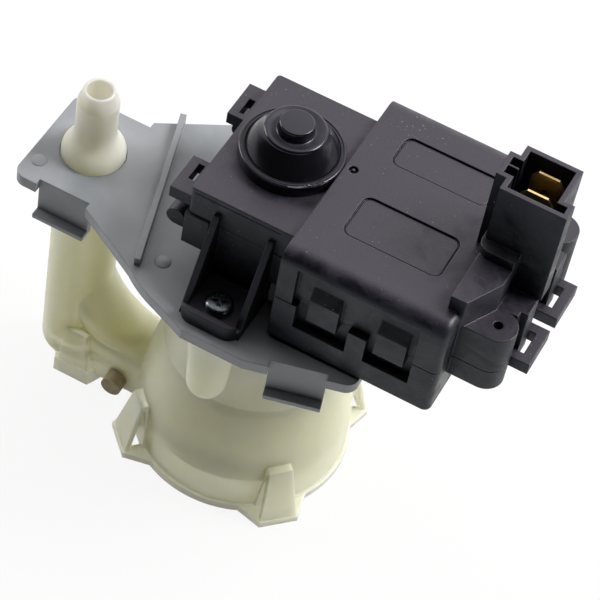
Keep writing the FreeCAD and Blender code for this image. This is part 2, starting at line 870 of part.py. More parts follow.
def rotor():
    running = S.shaft_radius + S.running_gap
    seat = S.square_floor + S.shell_wall - S.bearing_seat
    sleeve("lower_bearing", seat, S.bearing_length, running, S.bearing_radius)
    sleeve("upper_bearing", S.square_top + S.cap_wall - S.bearing_length, S.bearing_length,
           running, S.bearing_radius)
    sleeve("rotor_magnet", S.magnet_floor, S.magnet_length, S.magnet_hub, S.magnet_radius)
    hub = sleeve("rotor_hub", S.magnet_floor, S.magnet_length, running, S.magnet_hub)
    deck = S.magnet_floor + S.magnet_length
    inner = S.driver_radius + S.dog_gap
    block(hub, "dog", (-S.dog_reach, -inner), (-S.dog_width / 2, S.dog_width / 2),
          (deck - S.dog_height, deck + S.dog_height))
    driver = sleeve("clutch_driver", deck + S.running_gap, S.dog_height, S.shaft_radius,
                    S.driver_radius)
    block(driver, "dog", (S.driver_radius - S.dog_gap, S.dog_reach),
          (-S.dog_width / 2, S.dog_width / 2),
          (deck + S.running_gap, deck + S.running_gap + S.dog_height))
    washer_floor = seat + S.bearing_length + S.running_gap
    sleeve("thrust_washer", washer_floor, S.magnet_floor - S.running_gap - washer_floor,
           running, S.magnet_hub - S.running_gap)
    shaft = new_body("rotor_shaft")
    rod(shaft, "shaft", (0, 0, S.shaft_floor),
        S.square_top + S.cap_wall - S.shaft_floor, S.shaft_radius)


def magnet_notch():
    """The dog of the hub passes through a notch in the end of the magnet."""
    magnet = doc.getObject("rotor_magnet")
    deck = S.magnet_floor + S.magnet_length
    block(magnet, "dog_notch", (-S.dog_reach, -S.magnet_hub / 2),
          (-S.dog_width / 2, S.dog_width / 2), (deck - S.dog_height, deck + 1), cut=True)


def rubber_cap():
    body = new_body("rubber_cap")
    base = S.square_top
    wall = S.cap_wall
    sketch = flat_sketch(body, "cap_sketch", "XZ_Plane", 0)
    flange = base + S.cap_flange
    shoulder = base + S.cap_shoulder_rise
    top = base + S.cap_rise
    corners = [(0, top), (0, top - wall), (S.cap_nipple - wall, shoulder - wall),
               (S.cap_shoulder - wall, shoulder - wall), (S.cap_bore, flange),
               (S.cap_bore, base), (S.cap_radius, base), (S.cap_radius, flange),
               (S.cap_bell, flange), (S.cap_shoulder, shoulder), (S.cap_nipple, shoulder + wall / 4),
               (S.cap_nipple, top)]
    outline(sketch, corners, [(8, S.cap_bell)])
    spin(body, "cap", sketch)


# Mounting plate

def plate_outline(body):
    """A disc round the motor, an ear for the riser and a straight edge under each foot."""
    radius = S.plate_radius
    sketch = flat_sketch(body, "plate_sketch", "XY_Plane", S.plate_top - S.plate_thick)
    foot_edge = foot_reach() + S.plate_foot_margin
    corners = [
        (-S.plate_left, S.plate_rear),
        (-S.plate_left, -S.plate_front),
        (-S.clip_left + S.clip_width, -S.plate_front),
        (radius * -0.6755, radius * -0.8179),
        (radius * -0.3890, radius * -0.9750),
        (-S.plate_foot_left, -foot_edge),
        (S.plate_foot_right, -foot_edge),
        (S.plate_right, -S.plate_right_front),
        (S.plate_right, S.plate_right_rear),
        (radius * 0.7144, radius * 0.7),
        (radius * -0.7300, radius * 0.6836),
        (-S.plate_step_left, S.plate_rear + S.plate_step),
        (-S.plate_step_left, S.plate_rear),
    ]
    outline(sketch, corners, [(3, radius), (9, radius)])
    return sketch


def plate_clip(body, name, spot, angle):
    """A spring tongue that hangs from the edge of the plate, with a foot turned outwards."""
    turn = Rotation(Vector(0, 0, 1), angle)
    along = turn.multVec(Vector(1, 0, 0))
    outward = turn.multVec(Vector(0, -1, 0))
    floor = S.plate_top - S.clip_height
    half = S.clip_width / 2

    def at(shift, reach):
        return [spot[i] + along[i] * shift + outward[i] * reach for i in (0, 1)]

    def piece(label, reach, depth, low, high, cut=False):
        corner = at(-half, reach + depth)
        kind = "PartDesign::SubtractiveBox" if cut else "PartDesign::AdditiveBox"
        feature = body.newObject(kind, f"{label}_{name}")
        bind(feature, "Length", S.clip_width)
        bind(feature, "Width", depth)
        bind(feature, "Height", high - low)
        place(feature, (corner[0], corner[1], low), turn)

    piece("clip_notch", 0 * S.clip_inset, S.clip_inset * 3, floor, S.plate_top + 1, cut=True)
    piece("clip_wall", -S.clip_thick, S.clip_thick, floor, S.plate_top)
    piece("clip_foot", -S.clip_thick, S.clip_thick + S.clip_foot, floor, floor + S.clip_thick * 0.7)


def mounting_plate():
    body = new_body("mounting_plate")
    pad(body, "plate", plate_outline(body), S.plate_thick)
    soften(body, "plate_corners", S.plate_corner,
           lambda edge: straight_edge(edge, "z", x=[-S.plate_left, S.plate_right],
                                      y=[S.plate_rear, -S.plate_front, -S.plate_right_front]))
    plate_clip(body, "left", (S.clip_width / 2 - S.clip_left, S.clip_inset - S.plate_front), 0)
    plate_clip(body, "front", (S.clip_front_x, -S.clip_front_y), SIZES["clip_angle"])
    plate_rib(body)
    rod(body, "riser_hole", (-S.tower_x, -S.tower_y, S.plate_top - 2 * S.plate_thick),
        3 * S.plate_thick, S.collar_radius + S.plate_hole_gap, cut=True)
    rod(body, "shaft_hole", (0, 0, S.plate_top - 2 * S.plate_thick), 3 * S.plate_thick,
        S.plate_shaft_hole, cut=True)
    for name, side in SIDES.items():
        rod(body, f"screw_hole_{name}", (0, side * screw_reach(), S.plate_top - 2 * S.plate_thick),
            3 * S.plate_thick, S.screw_radius + S.screw_clearance, cut=True)


def plate_rib(body):
    """A straight stiffening rib between the ear and the disc."""
    rear = (radius_share(-1.046), radius_share(0.530))
    front = (radius_share(-0.665), radius_share(-0.778))
    run = Vector(front[0].value - rear[0].value, front[1].value - rear[1].value, 0)
    feature = body.newObject("PartDesign::AdditiveBox", "rib")
    bind(feature, "Length", Size(f"{run.Length / S.plate_radius.value:.6f} * Sizes.plate_radius",
                                 run.Length))
    bind(feature, "Width", S.plate_rib_width)
    bind(feature, "Height", S.plate_rib_height + S.plate_thick / 2)
    turn = Rotation(Vector(1, 0, 0), run)
    place(feature, (rear[0], rear[1], S.plate_top - S.plate_thick / 2), turn)


def radius_share(share):
    return S.plate_radius * share


def plate_screw(name, side):
    body = new_body(f"plate_screw_{name}")
    seat = S.plate_top + S.foot_thick
    y = side * screw_reach()
    rod(body, "head", (0, y, seat), S.screw_head_height, S.screw_head)
    soften(body, "head_round", S.screw_head_height * 0.75,
           lambda edge: ring_edge(edge, S.screw_head, seat + S.screw_head_height))
    rod(body, "shank", (0, y, seat - S.screw_length), S.screw_length + S.foot_thick / 4,
        S.screw_radius)


# Pump body

def riser_tower(body):
    """The tower and its spigot, turned about their own axis."""
    sketch = flat_sketch(body, "tower_sketch", "XZ_Plane", S.tower_y, (-S.tower_x, 0))
    cup_top = S.plate_top - S.plate_thick
    foot = S.tower_round
    waist = ((S.collar_radius + S.spigot_radius) / 2, (S.collar_top + S.spigot_foot) / 2)
    wide = S.collar_radius - waist[0]
    tall = S.spigot_foot - waist[1]
    flare = (wide * wide + tall * tall) / (2 * wide)
    corners = [(0, S.tower_floor), (S.tower_radius - foot, S.tower_floor),
               (S.tower_radius, S.tower_floor + foot), (S.tower_radius, cup_top),
               (S.collar_radius, cup_top), (S.collar_radius, S.collar_top), waist,
               (S.spigot_radius, S.spigot_foot), (S.spigot_radius, S.spigot_lead),
               (S.spigot_tip, S.spigot_top), (0, S.spigot_top)]
    outline(sketch, corners, {1: foot, 5: flare, 6: flare}, {6})
    spin(body, "tower", sketch)


def channel(body):
    """The cross channel from the pump chamber, which bends up into the tower."""
    wide = S.channel_half
    y = -S.tower_y
    end = chamber_radius() + S.cup_wall / 4
    block(body, "channel_box", (-S.tower_x, -end), (y - wide, y + wide),
          (S.channel_floor, S.channel_centre))
    rod(body, "channel_round", (-S.tower_x, y, S.channel_centre),
        S.tower_x - end, wide, axis="X")
    bend = body.newObject("PartDesign::AdditiveTorus", "elbow")
    bind(bend, "Radius1", S.elbow_radius)
    bind(bend, "Radius2", S.elbow_tube)
    bend.Angle3 = 90
    turn = Rotation(Vector(0, 1, 0), 180) * UP
    place(bend, (S.elbow_radius - S.tower_x, y, S.channel_centre + S.elbow_radius), turn)


def loop_level(body, name, turn, rise, corners, shift=(0, 0)):
    """A level sketch with its own X axis turned to the side where the loop stands."""
    sketch = flat_sketch(body, name, "XY_Plane", rise, shift)
    sketch.AttachmentOffset = Placement(Vector(), Rotation(Vector(0, 0, 1), turn))
    outline(sketch, corners)
    return sketch


def tongue(root, reach, width, flare=0):
    """Corners of a level that runs outward from root to reach."""
    half = width / 2
    return [(root, -(half + flare)), (reach, -half), (reach, half), (root, half + flare)]


def loft(body, name, levels, cut=False):
    feature = body.newObject("PartDesign::SubtractiveLoft" if cut else "PartDesign::AdditiveLoft",
                             name)
    feature.Profile = levels[0]
    feature.Sections = [(levels[1], [""])]
    feature.Ruled = True
    for level in levels:
        level.Visibility = False
    return feature


def rim_loops(body):
    """Tapered straps on flared flanges, evenly spaced round the rim, open below and aside."""
    wall = S.loop_wall
    turn = 180 / LOOPS
    hole_width = S.loop_width - 2 * wall
    root = S.cup_radius - S.cup_wall / 2
    reach = S.cup_radius + S.loop_reach
    top_reach = S.cup_radius + S.loop_top_reach
    flange = pad(body, "loop_flange", loop_level(
        body, "flange_level", turn, 0, tongue(root, reach, S.loop_width, S.loop_flare)),
        S.loop_flange)
    outer = loft(body, "loop", [
        loop_level(body, "loop_foot", turn, 0, tongue(root, reach, S.loop_width)),
        loop_level(body, "loop_head", turn, S.loop_height,
                   tongue(root, top_reach, S.loop_top_width))])
    inside = S.cup_radius + wall / 6
    across = S.loop_width + 2 * wall
    slot = loft(body, "loop_window", [
        loop_level(body, "window_foot", turn, S.loop_flange, tongue(inside, reach - wall, across)),
        loop_level(body, "window_head", turn, S.loop_height - wall,
                   tongue(inside, top_reach - wall / 2, across))], cut=True)
    hole = loft(body, "loop_hole", [
        loop_level(body, "hole_foot", turn, -wall, tongue(inside, reach - wall, hole_width)),
        loop_level(body, "hole_head", turn, 2 * wall, tongue(inside, reach - wall, hole_width))],
        cut=True)
    polar(body, "loops", [flange, outer, slot, hole], LOOPS)


def tower_loop(body):
    """The fifth lug, on the front of the channel below the tower."""
    spot = (-S.tower_loop_x, -S.tower_y)
    reach = S.tower_radius + S.tower_loop_reach
    pad(body, "tower_flange", loop_level(
        body, "tower_flange_level", -90, 0, tongue(0, reach, S.loop_width, S.loop_flare), spot),
        S.channel_floor + S.loop_flange)
    loft(body, "tower_loop", [
        loop_level(body, "tower_loop_foot", -90, 0, tongue(0, reach, S.loop_width), spot),
        loop_level(body, "tower_loop_head", -90, S.loop_height,
                   tongue(0, S.tower_radius + S.tower_loop_top_reach, S.loop_top_width), spot)])


def cup_wall(body):
    """The drum, its curved shoulder and the throat under the plate, all solid."""
    sketch = flat_sketch(body, "cup_sketch", "XZ_Plane", 0)
    cup_top = S.plate_top - S.plate_thick
    wide = S.cup_radius - S.throat_radius
    tall = S.shoulder_top - S.shoulder_floor
    curve = (wide * wide + tall * tall) / (2 * wide)
    corners = [(0, 0), (S.cup_radius, 0), (S.cup_radius, S.shoulder_floor),
               (S.throat_radius, S.shoulder_top), (S.throat_radius, cup_top), (0, cup_top)]
    outline(sketch, corners, {2: curve})
    spin(body, "cup", sketch)


def screw_pillar(body, name, side):
    """A tapered pillar with a round nose, and the web that ties it to the throat."""
    cup_top = S.plate_top - S.plate_thick
    sketch = flat_sketch(body, f"pillar_sketch_{name}", "XZ_Plane", -side * screw_reach())
    nose = S.pillar_tip
    corners = [(0, S.pillar_floor), (nose, S.pillar_floor + nose), (S.pillar_radius, cup_top),
               (0, cup_top)]
    outline(sketch, corners, {0: nose})
    spin(body, f"pillar_{name}", sketch)
    half = S.pillar_web / 2
    block(body, f"pillar_web_{name}", (-half, half),
          span(side, S.throat_radius - S.cup_wall / 2, screw_reach()),
          (S.pillar_floor + nose, cup_top))


def pump_hollows(body):
    """The dry well over the chamber, the chamber, the open skirt and the way out."""
    cup_top = S.plate_top - S.plate_thick
    inner = chamber_radius()
    well_floor = S.chamber_top + S.ceiling_thick
    rod(body, "well", (0, 0, well_floor), cup_top - well_floor + 1, inner, cut=True)
    rod(body, "chamber", (0, 0, S.cover_seat), S.chamber_top - S.cover_seat, inner, cut=True)
    rod(body, "skirt", (0, 0, -1), S.cover_seat + 1, S.cup_radius - S.skirt_wall, cut=True)
    rod(body, "seal_tube", (0, 0, well_floor - S.ceiling_thick / 2),
        S.tube_top - well_floor + S.ceiling_thick / 2, S.tube_radius)
    rod(body, "tube_bore", (0, 0, S.chamber_top - 1), S.tube_top - S.chamber_top + 2,
        S.shaft_radius + S.tube_gap, cut=True)
    rod(body, "seal_seat", (0, 0, S.tube_top - S.seal_height), S.seal_height + 1,
        S.seal_radius, cut=True)
    x, y = -S.tower_x, -S.tower_y
    rod(body, "channel_bore", (x, y, S.channel_centre), S.tower_x - inner + S.cup_wall,
        S.channel_bore, cut=True, axis="X")
    tower_bore = S.tower_radius - S.tower_wall
    floor = S.channel_centre - S.channel_bore
    rod(body, "tower_bore", (x, y, floor), cup_top - floor, tower_bore, cut=True)
    cone(body, "tower_neck", (x, y, cup_top), S.spigot_foot - cup_top, tower_bore,
         S.spigot_bore, cut=True)
    rod(body, "spigot_bore", (x, y, S.spigot_foot), S.spigot_top - S.spigot_foot + 1,
        S.spigot_bore, cut=True)


def pump_body():
    body = new_body("pump_body")
    riser_tower(body)
    channel(body)
    cup_top = S.plate_top - S.plate_thick
    cup_wall(body)
    rod(body, "rim", (0, 0, 0), S.rim_height, S.cup_radius + S.rim_width)
    tower_loop(body)
    rim_loops(body)
    for name, side in SIDES.items():
        screw_pillar(body, name, side)
    pump_hollows(body)
    for name, side in SIDES.items():
        rod(body, f"screw_bore_{name}",
            (0, side * screw_reach(), S.plate_top + S.foot_thick - S.screw_length),
            S.screw_length, S.screw_radius, cut=True)
    front = -(S.tower_y + S.tower_radius)
    rod(body, "plug_pocket", (-S.plug_x, front - S.plug_depth, S.plug_height),
        2 * S.plug_depth, S.plug_radius, cut=True, axis="Y")


def channel_plug():
    body = new_body("channel_plug")
    front = -(S.tower_y + S.tower_radius)
    rod(body, "plug", (-S.plug_x, front + S.plug_depth - S.plug_length, S.plug_height),
        S.plug_length, S.plug_radius, axis="Y")


# Impeller and suction side

def impeller():
    body = new_body("impeller")
    floor = S.impeller_floor
    rod(body, "hub", (0, 0, floor), S.vane_height + S.impeller_disc, S.impeller_hub)
    rod(body, "disc", (0, 0, floor + S.vane_height), S.impeller_disc, S.impeller_radius)
    half = S.vane_thick / 2
    vane = block(body, "vane", (S.impeller_hub - half, S.impeller_radius - half), (-half, half),
                 (floor, floor + S.vane_height))
    polar(body, "vanes", [vane], VANES)
    rod(body, "bore", (0, 0, floor - 1), S.vane_height + 2 * S.impeller_disc + 1, S.shaft_radius,
        cut=True)
    sleeve("impeller_clip", floor - S.clip_ring_thick, S.clip_ring_thick, S.shaft_radius,
           S.clip_ring_radius)


def suction_side():
    inner = S.cup_radius - S.skirt_wall - S.suction_gap
    floor = S.cover_seat - S.suction_thick
    cover = new_body("suction_cover")
    rod(cover, "floor", (0, 0, floor), S.suction_thick, inner)
    rod(cover, "inlet", (0, 0, 0), floor + S.suction_thick / 2, S.inlet_radius + S.inlet_wall)
    rod(cover, "eye", (0, 0, -1), S.cover_seat + 2, S.inlet_radius, cut=True)
    chamber = chamber_radius()
    outer = chamber - S.suction_gap
    sleeve("cover_seal", S.cover_seat, S.gasket_height, outer - S.gasket_width, outer)
    sleeve("shaft_seal", S.tube_top - S.seal_height, S.seal_height,
           S.shaft_radius + S.running_gap, S.seal_radius)


def check_and_write():
    """Stops on any failed object, then writes each body to its own file."""
    doc.recompute()
    for item in doc.Objects:
        if {"Invalid", "Error"} & set(item.State):
            raise RuntimeError(f"{item.Name} failed: {item.State}")
    os.makedirs("parts", exist_ok=True)
    for body in BODIES:
        shape = body.Shape
        if shape.isNull() or not shape.isValid() or len(shape.Solids) != 1:
            raise RuntimeError(f"{body.Label} is not one sound solid")
        shape.exportStep(f"parts/{body.Label}.step")
        print(f"{body.Label}: {shape.Volume:.1f} mm3")


def main():
    motor_cover()
    motor_base()
    stator_core()
    for name, side in SIDES.items():
        coil_bobbin(name, side)
        coil_winding(name, side)
        plate_screw(name, side)
    for name, y in spade_rows():
        spade_terminal(name, y)
    rotor()
    magnet_notch()
    rubber_cap()
    mounting_plate()
    pump_body()
    channel_plug()
    impeller()
    suction_side()
    check_and_write()


main()
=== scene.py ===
"""Dryer drain pump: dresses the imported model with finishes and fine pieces, and sets the stage."""
import json
import math
import random

import bmesh
import bpy
from bpy.props import FloatProperty, FloatVectorProperty, PointerProperty
from mathutils import Matrix, Vector


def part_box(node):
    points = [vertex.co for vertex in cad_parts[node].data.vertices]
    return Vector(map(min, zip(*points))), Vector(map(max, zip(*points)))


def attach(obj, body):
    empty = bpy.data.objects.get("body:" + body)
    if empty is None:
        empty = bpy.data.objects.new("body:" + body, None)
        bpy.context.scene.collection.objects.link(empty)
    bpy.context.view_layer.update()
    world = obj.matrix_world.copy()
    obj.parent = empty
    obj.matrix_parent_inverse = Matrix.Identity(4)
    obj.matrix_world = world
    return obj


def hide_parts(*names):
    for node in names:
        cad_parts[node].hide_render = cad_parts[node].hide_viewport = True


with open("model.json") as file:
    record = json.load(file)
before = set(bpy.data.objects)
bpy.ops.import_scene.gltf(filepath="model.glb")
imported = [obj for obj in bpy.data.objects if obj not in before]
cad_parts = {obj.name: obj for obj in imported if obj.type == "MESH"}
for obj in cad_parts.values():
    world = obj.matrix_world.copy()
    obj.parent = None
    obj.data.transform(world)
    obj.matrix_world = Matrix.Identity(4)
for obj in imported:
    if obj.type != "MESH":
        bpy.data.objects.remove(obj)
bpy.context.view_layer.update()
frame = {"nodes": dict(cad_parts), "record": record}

bl_info = {
    "name": "Dryer drain pump",
    "version": (1, 0, 0),
    "blender": (4, 5, 0),
    "location": "View3D > Sidebar > Drain Pump",
    "description": "Dresses the drain pump with its finishes, small pieces and stage",
    "category": "Add Mesh",
}

MM = 0.001
NODES = frame["nodes"]

# Places and heights that the fine pieces are fitted to
COVER_TOP = 84.0 * MM
PLATE_TOP = 60.0 * MM
SQUARE_FRONT = -16.8 * MM
SQUARE_LINE = 80.65 * MM
CAP_LEDGE = 2.6 * MM
SCREW_HEAD = 1.9 * MM


# Small helpers for meshes and places

def low(node):
    """The lowest corner of a CAD node."""
    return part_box(node)[0]


def high(node):
    """The highest corner of a CAD node."""
    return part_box(node)[1]


def tops(nodes):
    """The middle of the top of each CAD node."""
    return [((low(node).x + high(node).x) / 2, (low(node).y + high(node).y) / 2, high(node).z)
            for node in nodes]


def link(name, mesh):
    """A new object in the scene that holds a mesh."""
    made = bpy.data.objects.new(name, mesh)
    bpy.context.scene.collection.objects.link(made)
    return made


def add_piece(name, mesh, body, material):
    """Links a mesh as a piece that rides on a body of the frame."""
    piece = link(name, mesh)
    mesh.materials.clear()
    mesh.materials.append(material)
    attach(piece, body)
    return piece


def evaluated(piece):
    """The plain mesh of an object with its modifiers worked in."""
    graph = bpy.context.evaluated_depsgraph_get()
    graph.update()
    return bpy.data.meshes.new_from_object(piece.evaluated_get(graph))


def cut(mesh, *tools):
    """A mesh from which the closed tool meshes are cut away, one after the other."""
    body = link("body", mesh)
    for tool_mesh in tools:
        tool = link("tool", tool_mesh)
        step = body.modifiers.new("cut", "BOOLEAN")
        step.operation = "DIFFERENCE"
        step.solver = "EXACT"
        step.object = tool
        made = evaluated(body)
        body.modifiers.clear()
        body.data = made
        bpy.data.objects.remove(tool)
    made = body.data
    bpy.data.objects.remove(body)
    return made


def loaded(mesh):
    """A bmesh that holds a mesh."""
    bm = bmesh.new()
    bm.from_mesh(mesh)
    return bm


def finish_mesh(bm, name, smooth_angle=40):
    """Turns a bmesh into a mesh with outward faces, smooth except at sharp edges."""
    bmesh.ops.remove_doubles(bm, verts=bm.verts, dist=0.001 * MM)
    bmesh.ops.recalc_face_normals(bm, faces=bm.faces)
    mesh = bpy.data.meshes.new(name)
    bm.to_mesh(mesh)
    bm.free()
    mesh.shade_smooth()
    mesh.set_sharp_from_angle(angle=math.radians(smooth_angle))
    return mesh


def lathe(bm, profile, segments, centre=(0, 0)):
    """Turns (radius, height) points about an upright axis, with closed poles."""
    rings = []
    for radius, height in profile:
        if radius < 1e-9:
            rings.append([bm.verts.new((centre[0], centre[1], height))])
            continue
        ring = []
        for i in range(segments):
            angle = 2 * math.pi * i / segments
            x = centre[0] + radius * math.cos(angle)
            y = centre[1] + radius * math.sin(angle)
            ring.append(bm.verts.new((x, y, height)))
        rings.append(ring)
    for lower, upper in zip(rings, rings[1:]):
        join_rings(bm, lower, upper)


def join_rings(bm, lower, upper):
    """Fills the wall between two rings of points, either of which may be one point."""
    count = max(len(lower), len(upper))
    for i in range(count):
        j = (i + 1) % count
        corners = [lower[i % len(lower)], lower[j % len(lower)],
                   upper[j % len(upper)], upper[i % len(upper)]]
        unique = list(dict.fromkeys(corners))
        if len(unique) > 2:
            bm.faces.new(unique)


def close_ends(bm, rings):
    """Joins a row of rings by walls and closes its two ends."""
    for first, second in zip(rings, rings[1:]):
        join_rings(bm, first, second)
    bm.faces.new(rings[0])
    bm.faces.new(rings[-1])


def arc(centre, radius, start, end, steps):
    """Points along an arc in a profile, angles in degrees."""
    points = []
    for i in range(steps + 1):
        angle = math.radians(start + (end - start) * i / steps)
        points.append((centre[0] + radius * math.cos(angle),
                       centre[1] + radius * math.sin(angle)))
    return points


# Colours and shader nodes

def linear(colour):
    """An sRGB hex colour as linear red, green, blue and alpha."""
    parts = [int(colour[i:i + 2], 16) / 255 for i in (1, 3, 5)]
    scene = [part / 12.92 if part <= 0.04045 else ((part + 0.055) / 1.055) ** 2.4
             for part in parts]
    return (*scene, 1.0)


def fill(tree, node, inputs):
    """Fills the inputs of a node with values or links."""
    for key, value in inputs.items():
        if isinstance(value, bpy.types.NodeSocket):
            tree.links.new(value, node.inputs[key])
        else:
            node.inputs[key].default_value = value


def add_node(tree, kind, settings=None, inputs=None):
    """Adds a node, sets its properties and fills its inputs."""
    made = tree.nodes.new(kind)
    for key, value in (settings or {}).items():
        setattr(made, key, value)
    fill(tree, made, inputs or {})
    return made


def new_material(name):
    """A material with an empty tree, its shader and its object coordinates."""
    material = bpy.data.materials.new(name)
    material.use_nodes = True
    tree = material.node_tree
    tree.nodes.clear()
    shader = add_node(tree, "ShaderNodeBsdfPrincipled")
    add_node(tree, "ShaderNodeOutputMaterial", inputs={"Surface": shader.outputs[0]})
    place = add_node(tree, "ShaderNodeTexCoord").outputs["Object"]
    return material, tree, shader, place


def noise(tree, place, size_mm, detail=2.0, rough=0.5, warp=0.0):
    """Noise whose patches are about size_mm across."""
    return add_node(tree, "ShaderNodeTexNoise", inputs={
        "Vector": place, "Scale": 1 / (size_mm * MM), "Detail": detail,
        "Roughness": rough, "Distortion": warp}).outputs[0]


def between(tree, factor, first, second, low_end=0.3, high_end=0.7):
    """A blend of two colours as the factor goes from the low to the high end."""
    ramp = add_node(tree, "ShaderNodeValToRGB", inputs={0: factor})
    for stop, position, colour in zip(ramp.color_ramp.elements, (low_end, high_end),
                                      (first, second)):
        stop.position = position
        stop.color = linear(colour)
    return ramp.outputs[0]


def span(tree, factor, first, second, low_end=0.3, high_end=0.7):
    """A number that goes from first to second as the factor goes between the ends."""
    return add_node(tree, "ShaderNodeMapRange", inputs={
        0: factor, 1: low_end, 2: high_end, 3: first, 4: second}).outputs[0]


def laid_over(tree, share, base, colour, mode="MIX"):
    """A colour laid over another, or multiplied into it, by a share."""
    return add_node(tree, "ShaderNodeMix", {"data_type": "RGBA", "blend_type": mode},
                    {"Factor": share, 6: base, 7: linear(colour)}).outputs[2]


def math_of(tree, operation, *values):
    """The result of a math operation on one to three values."""
    return add_node(tree, "ShaderNodeMath", {"operation": operation},
                    dict(enumerate(values))).outputs[0]


def sum_of(tree, first, weight, second):
    """The first value times its weight, plus the second."""
    return math_of(tree, "MULTIPLY_ADD", first, weight, second)


def part_of(tree, vector, axis):
    """The part of a vector along x, y or z."""
    return add_node(tree, "ShaderNodeSeparateXYZ", inputs={0: vector}).outputs["XYZ".index(axis)]


def facing_up(tree):
    """How far a face looks up: 1 for level faces, 0 for walls."""
    return part_of(tree, add_node(tree, "ShaderNodeTexCoord").outputs["Normal"], "Z")


def ripples(tree, along, pitch_mm):
    """Even waves along one direction, pitch_mm apart."""
    angle = math_of(tree, "MULTIPLY", along, 2 * math.pi / (pitch_mm * MM))
    return math_of(tree, "SINE", angle)


def relief(tree, height, depth_mm, strength=1.0, edge_mm=0.0):
    """A normal for a surface whose height rises by depth_mm, with eased edges."""
    inputs = {"Height": height, "Distance": depth_mm * MM, "Strength": strength}
    if edge_mm:
        inputs["Normal"] = add_node(tree, "ShaderNodeBevel", {"samples": 6},
                                    {"Radius": edge_mm * MM}).outputs[0]
    return add_node(tree, "ShaderNodeBump", inputs=inputs).outputs[0]


# Materials, one for each material slot and one for torn rubber

def glass_filled_nylon():
    """Moulded black polyamide with glass fibre: a fine eroded grain under a low, dusty sheen, with
    painted sheen that is stronger on the tops and weaker on the walls.
    """
    material, tree, shader, place = new_material("glass_filled_nylon")
    # The mould's eroded grain is 0.15 mm in life, drawn at 0.5 mm so that it shows.
    grain = noise(tree, place, 0.5, 3.0, 0.65)
    # Fibres leave paler swirls, some 6 mm across, where the melt slowed down.
    swirl = noise(tree, place, 6.0, 4.0, 0.6, 1.2)
    colour = between(tree, sum_of(tree, grain, 0.55, swirl), "#090a0f", "#1c1b23", 0.55, 1.0)
    # Dust lies in specks of under half a millimetre, thinly and in patches.
    speck = noise(tree, place, 0.45, 1.0, 0.4)
    patch = noise(tree, place, 12.0, 2.0)
    paleness = span(tree, sum_of(tree, patch, 0.22, speck), 0.0, 0.55, 0.87, 0.93)
    # Faces that look up reflect more, with a violet tint, and the walls reflect less and bluer. This
    # is partly a dusty film on the tops and partly painted sheen that makes the tops lighter and the
    # walls darker.
    top_dust_and_sheen = facing_up(tree)
    fill(tree, shader, {
        "Base Color": laid_over(tree, paleness, colour, "#8d8a92"),
        "Roughness": span(tree, swirl, 0.36, 0.58, 0.35, 0.65),
        "Normal": relief(tree, grain, 0.05, 0.6, 0.35),
        "IOR": 1.53,
        # Painted sheen: the reflection is made stronger on faces that look up and weaker on the
        # walls.
        "Specular IOR Level": span(tree, top_dust_and_sheen, 0.36, 0.6, 0.4, 0.95),
        "Specular Tint": between(tree, top_dust_and_sheen, "#e2eaf4", "#f4ebf9", 0.4, 0.95)})
    return material


def grey_polypropylene():
    """Moulded grey polypropylene: an even satin skin with faint flow marks."""
    material, tree, shader, place = new_material("grey_polypropylene")
    grain = noise(tree, place, 0.6, 2.0)
    flow = noise(tree, place, 14.0, 3.0, 0.5, 0.8)
    fill(tree, shader, {
        "Base Color": between(tree, flow, "#74777a", "#828487"),
        "Roughness": span(tree, grain, 0.38, 0.50),
        "Normal": relief(tree, grain, 0.02, 0.5, 0.35),
        "IOR": 1.49})
    return material


def natural_polypropylene():
    """Undyed polypropylene: milky, light scatters some millimetres deep, waxy skin."""
    material, tree, shader, place = new_material("natural_polypropylene")
    cloud = noise(tree, place, 9.0, 3.0, 0.5, 0.6)
    grain = noise(tree, place, 1.2, 2.0)
    milk = between(tree, cloud, "#f9f6e0", "#fcfbee")
    # The walls below the plate are thicker and take a faint green-yellow cast.
    height = part_of(tree, place, "Z")
    deep = span(tree, height, 1.0, 0.0, 30 * MM, 62 * MM)
    cast = laid_over(tree, deep, milk, "#f9f9ea", "MULTIPLY")
    # Above the plate the spigot has a thinner wall, and its colour is made greyer there: painted
    # shade of the hollow that shows through the wall.
    painted_spigot_shade = span(tree, height, 0.0, 1.0, 61 * MM, 68 * MM)
    fill(tree, shader, {
        "Base Color": laid_over(tree, painted_spigot_shade, cast, "#e8e6ea", "MULTIPLY"),
        "Roughness": span(tree, grain, 0.28, 0.40),
        "Normal": relief(tree, grain, 0.02, 0.4, 0.4),
        "IOR": 1.49,
        "Subsurface Weight": 0.9,
        "Subsurface Radius": (1.0, 0.97, 0.80),
        "Subsurface Scale": 4.5 * MM,
        "Transmission Weight": 0.5})
    return material


def epdm_rubber():
    """Pressed black rubber: polished mould walls, and paler and matt where a face looks up."""
    material, tree, shader, place = new_material("epdm_rubber")
    # The colour turns paler and the skin matt where a face looks up, in patches; the walls stay
    # darker and polished.
    bloom = noise(tree, place, 2.5, 3.0, 0.6)
    paleness = sum_of(tree, bloom, 0.25, facing_up(tree))
    grain = noise(tree, place, 0.7, 3.0, 0.6)
    fill(tree, shader, {
        "Base Color": between(tree, paleness, "#101014", "#1e1d22", 0.96, 1.11),
        "Roughness": span(tree, paleness, 0.18, 0.55, 0.98, 1.11),
        "Normal": relief(tree, grain, 0.01, 0.4),
        "IOR": 1.52,
        "Specular IOR Level": 0.4,
        "Specular Tint": linear("#e9e4f6")})
    return material


def torn_rubber():
    """Rubber torn off at the mould's edge: matt, ragged and paler than the pressed skin."""
    material, tree, shader, place = new_material("torn_rubber")
    shred = noise(tree, place, 0.5, 3.0, 0.7)
    fill(tree, shader, {
        "Base Color": between(tree, shred, "#3b393f", "#8f8b94"),
        "Roughness": 0.7,
        "Normal": relief(tree, shred, 0.1, 0.8)})
    return material


def beige_rubber():
    """Soft beige plug rubber, matt and slightly stained."""
    material, tree, shader, place = new_material("beige_rubber")
    stain = noise(tree, place, 1.5, 3.0)
    fill(tree, shader, {
        "Base Color": between(tree, stain, "#a08f72", "#b8a888"),
        "Roughness": 0.6})
    return material


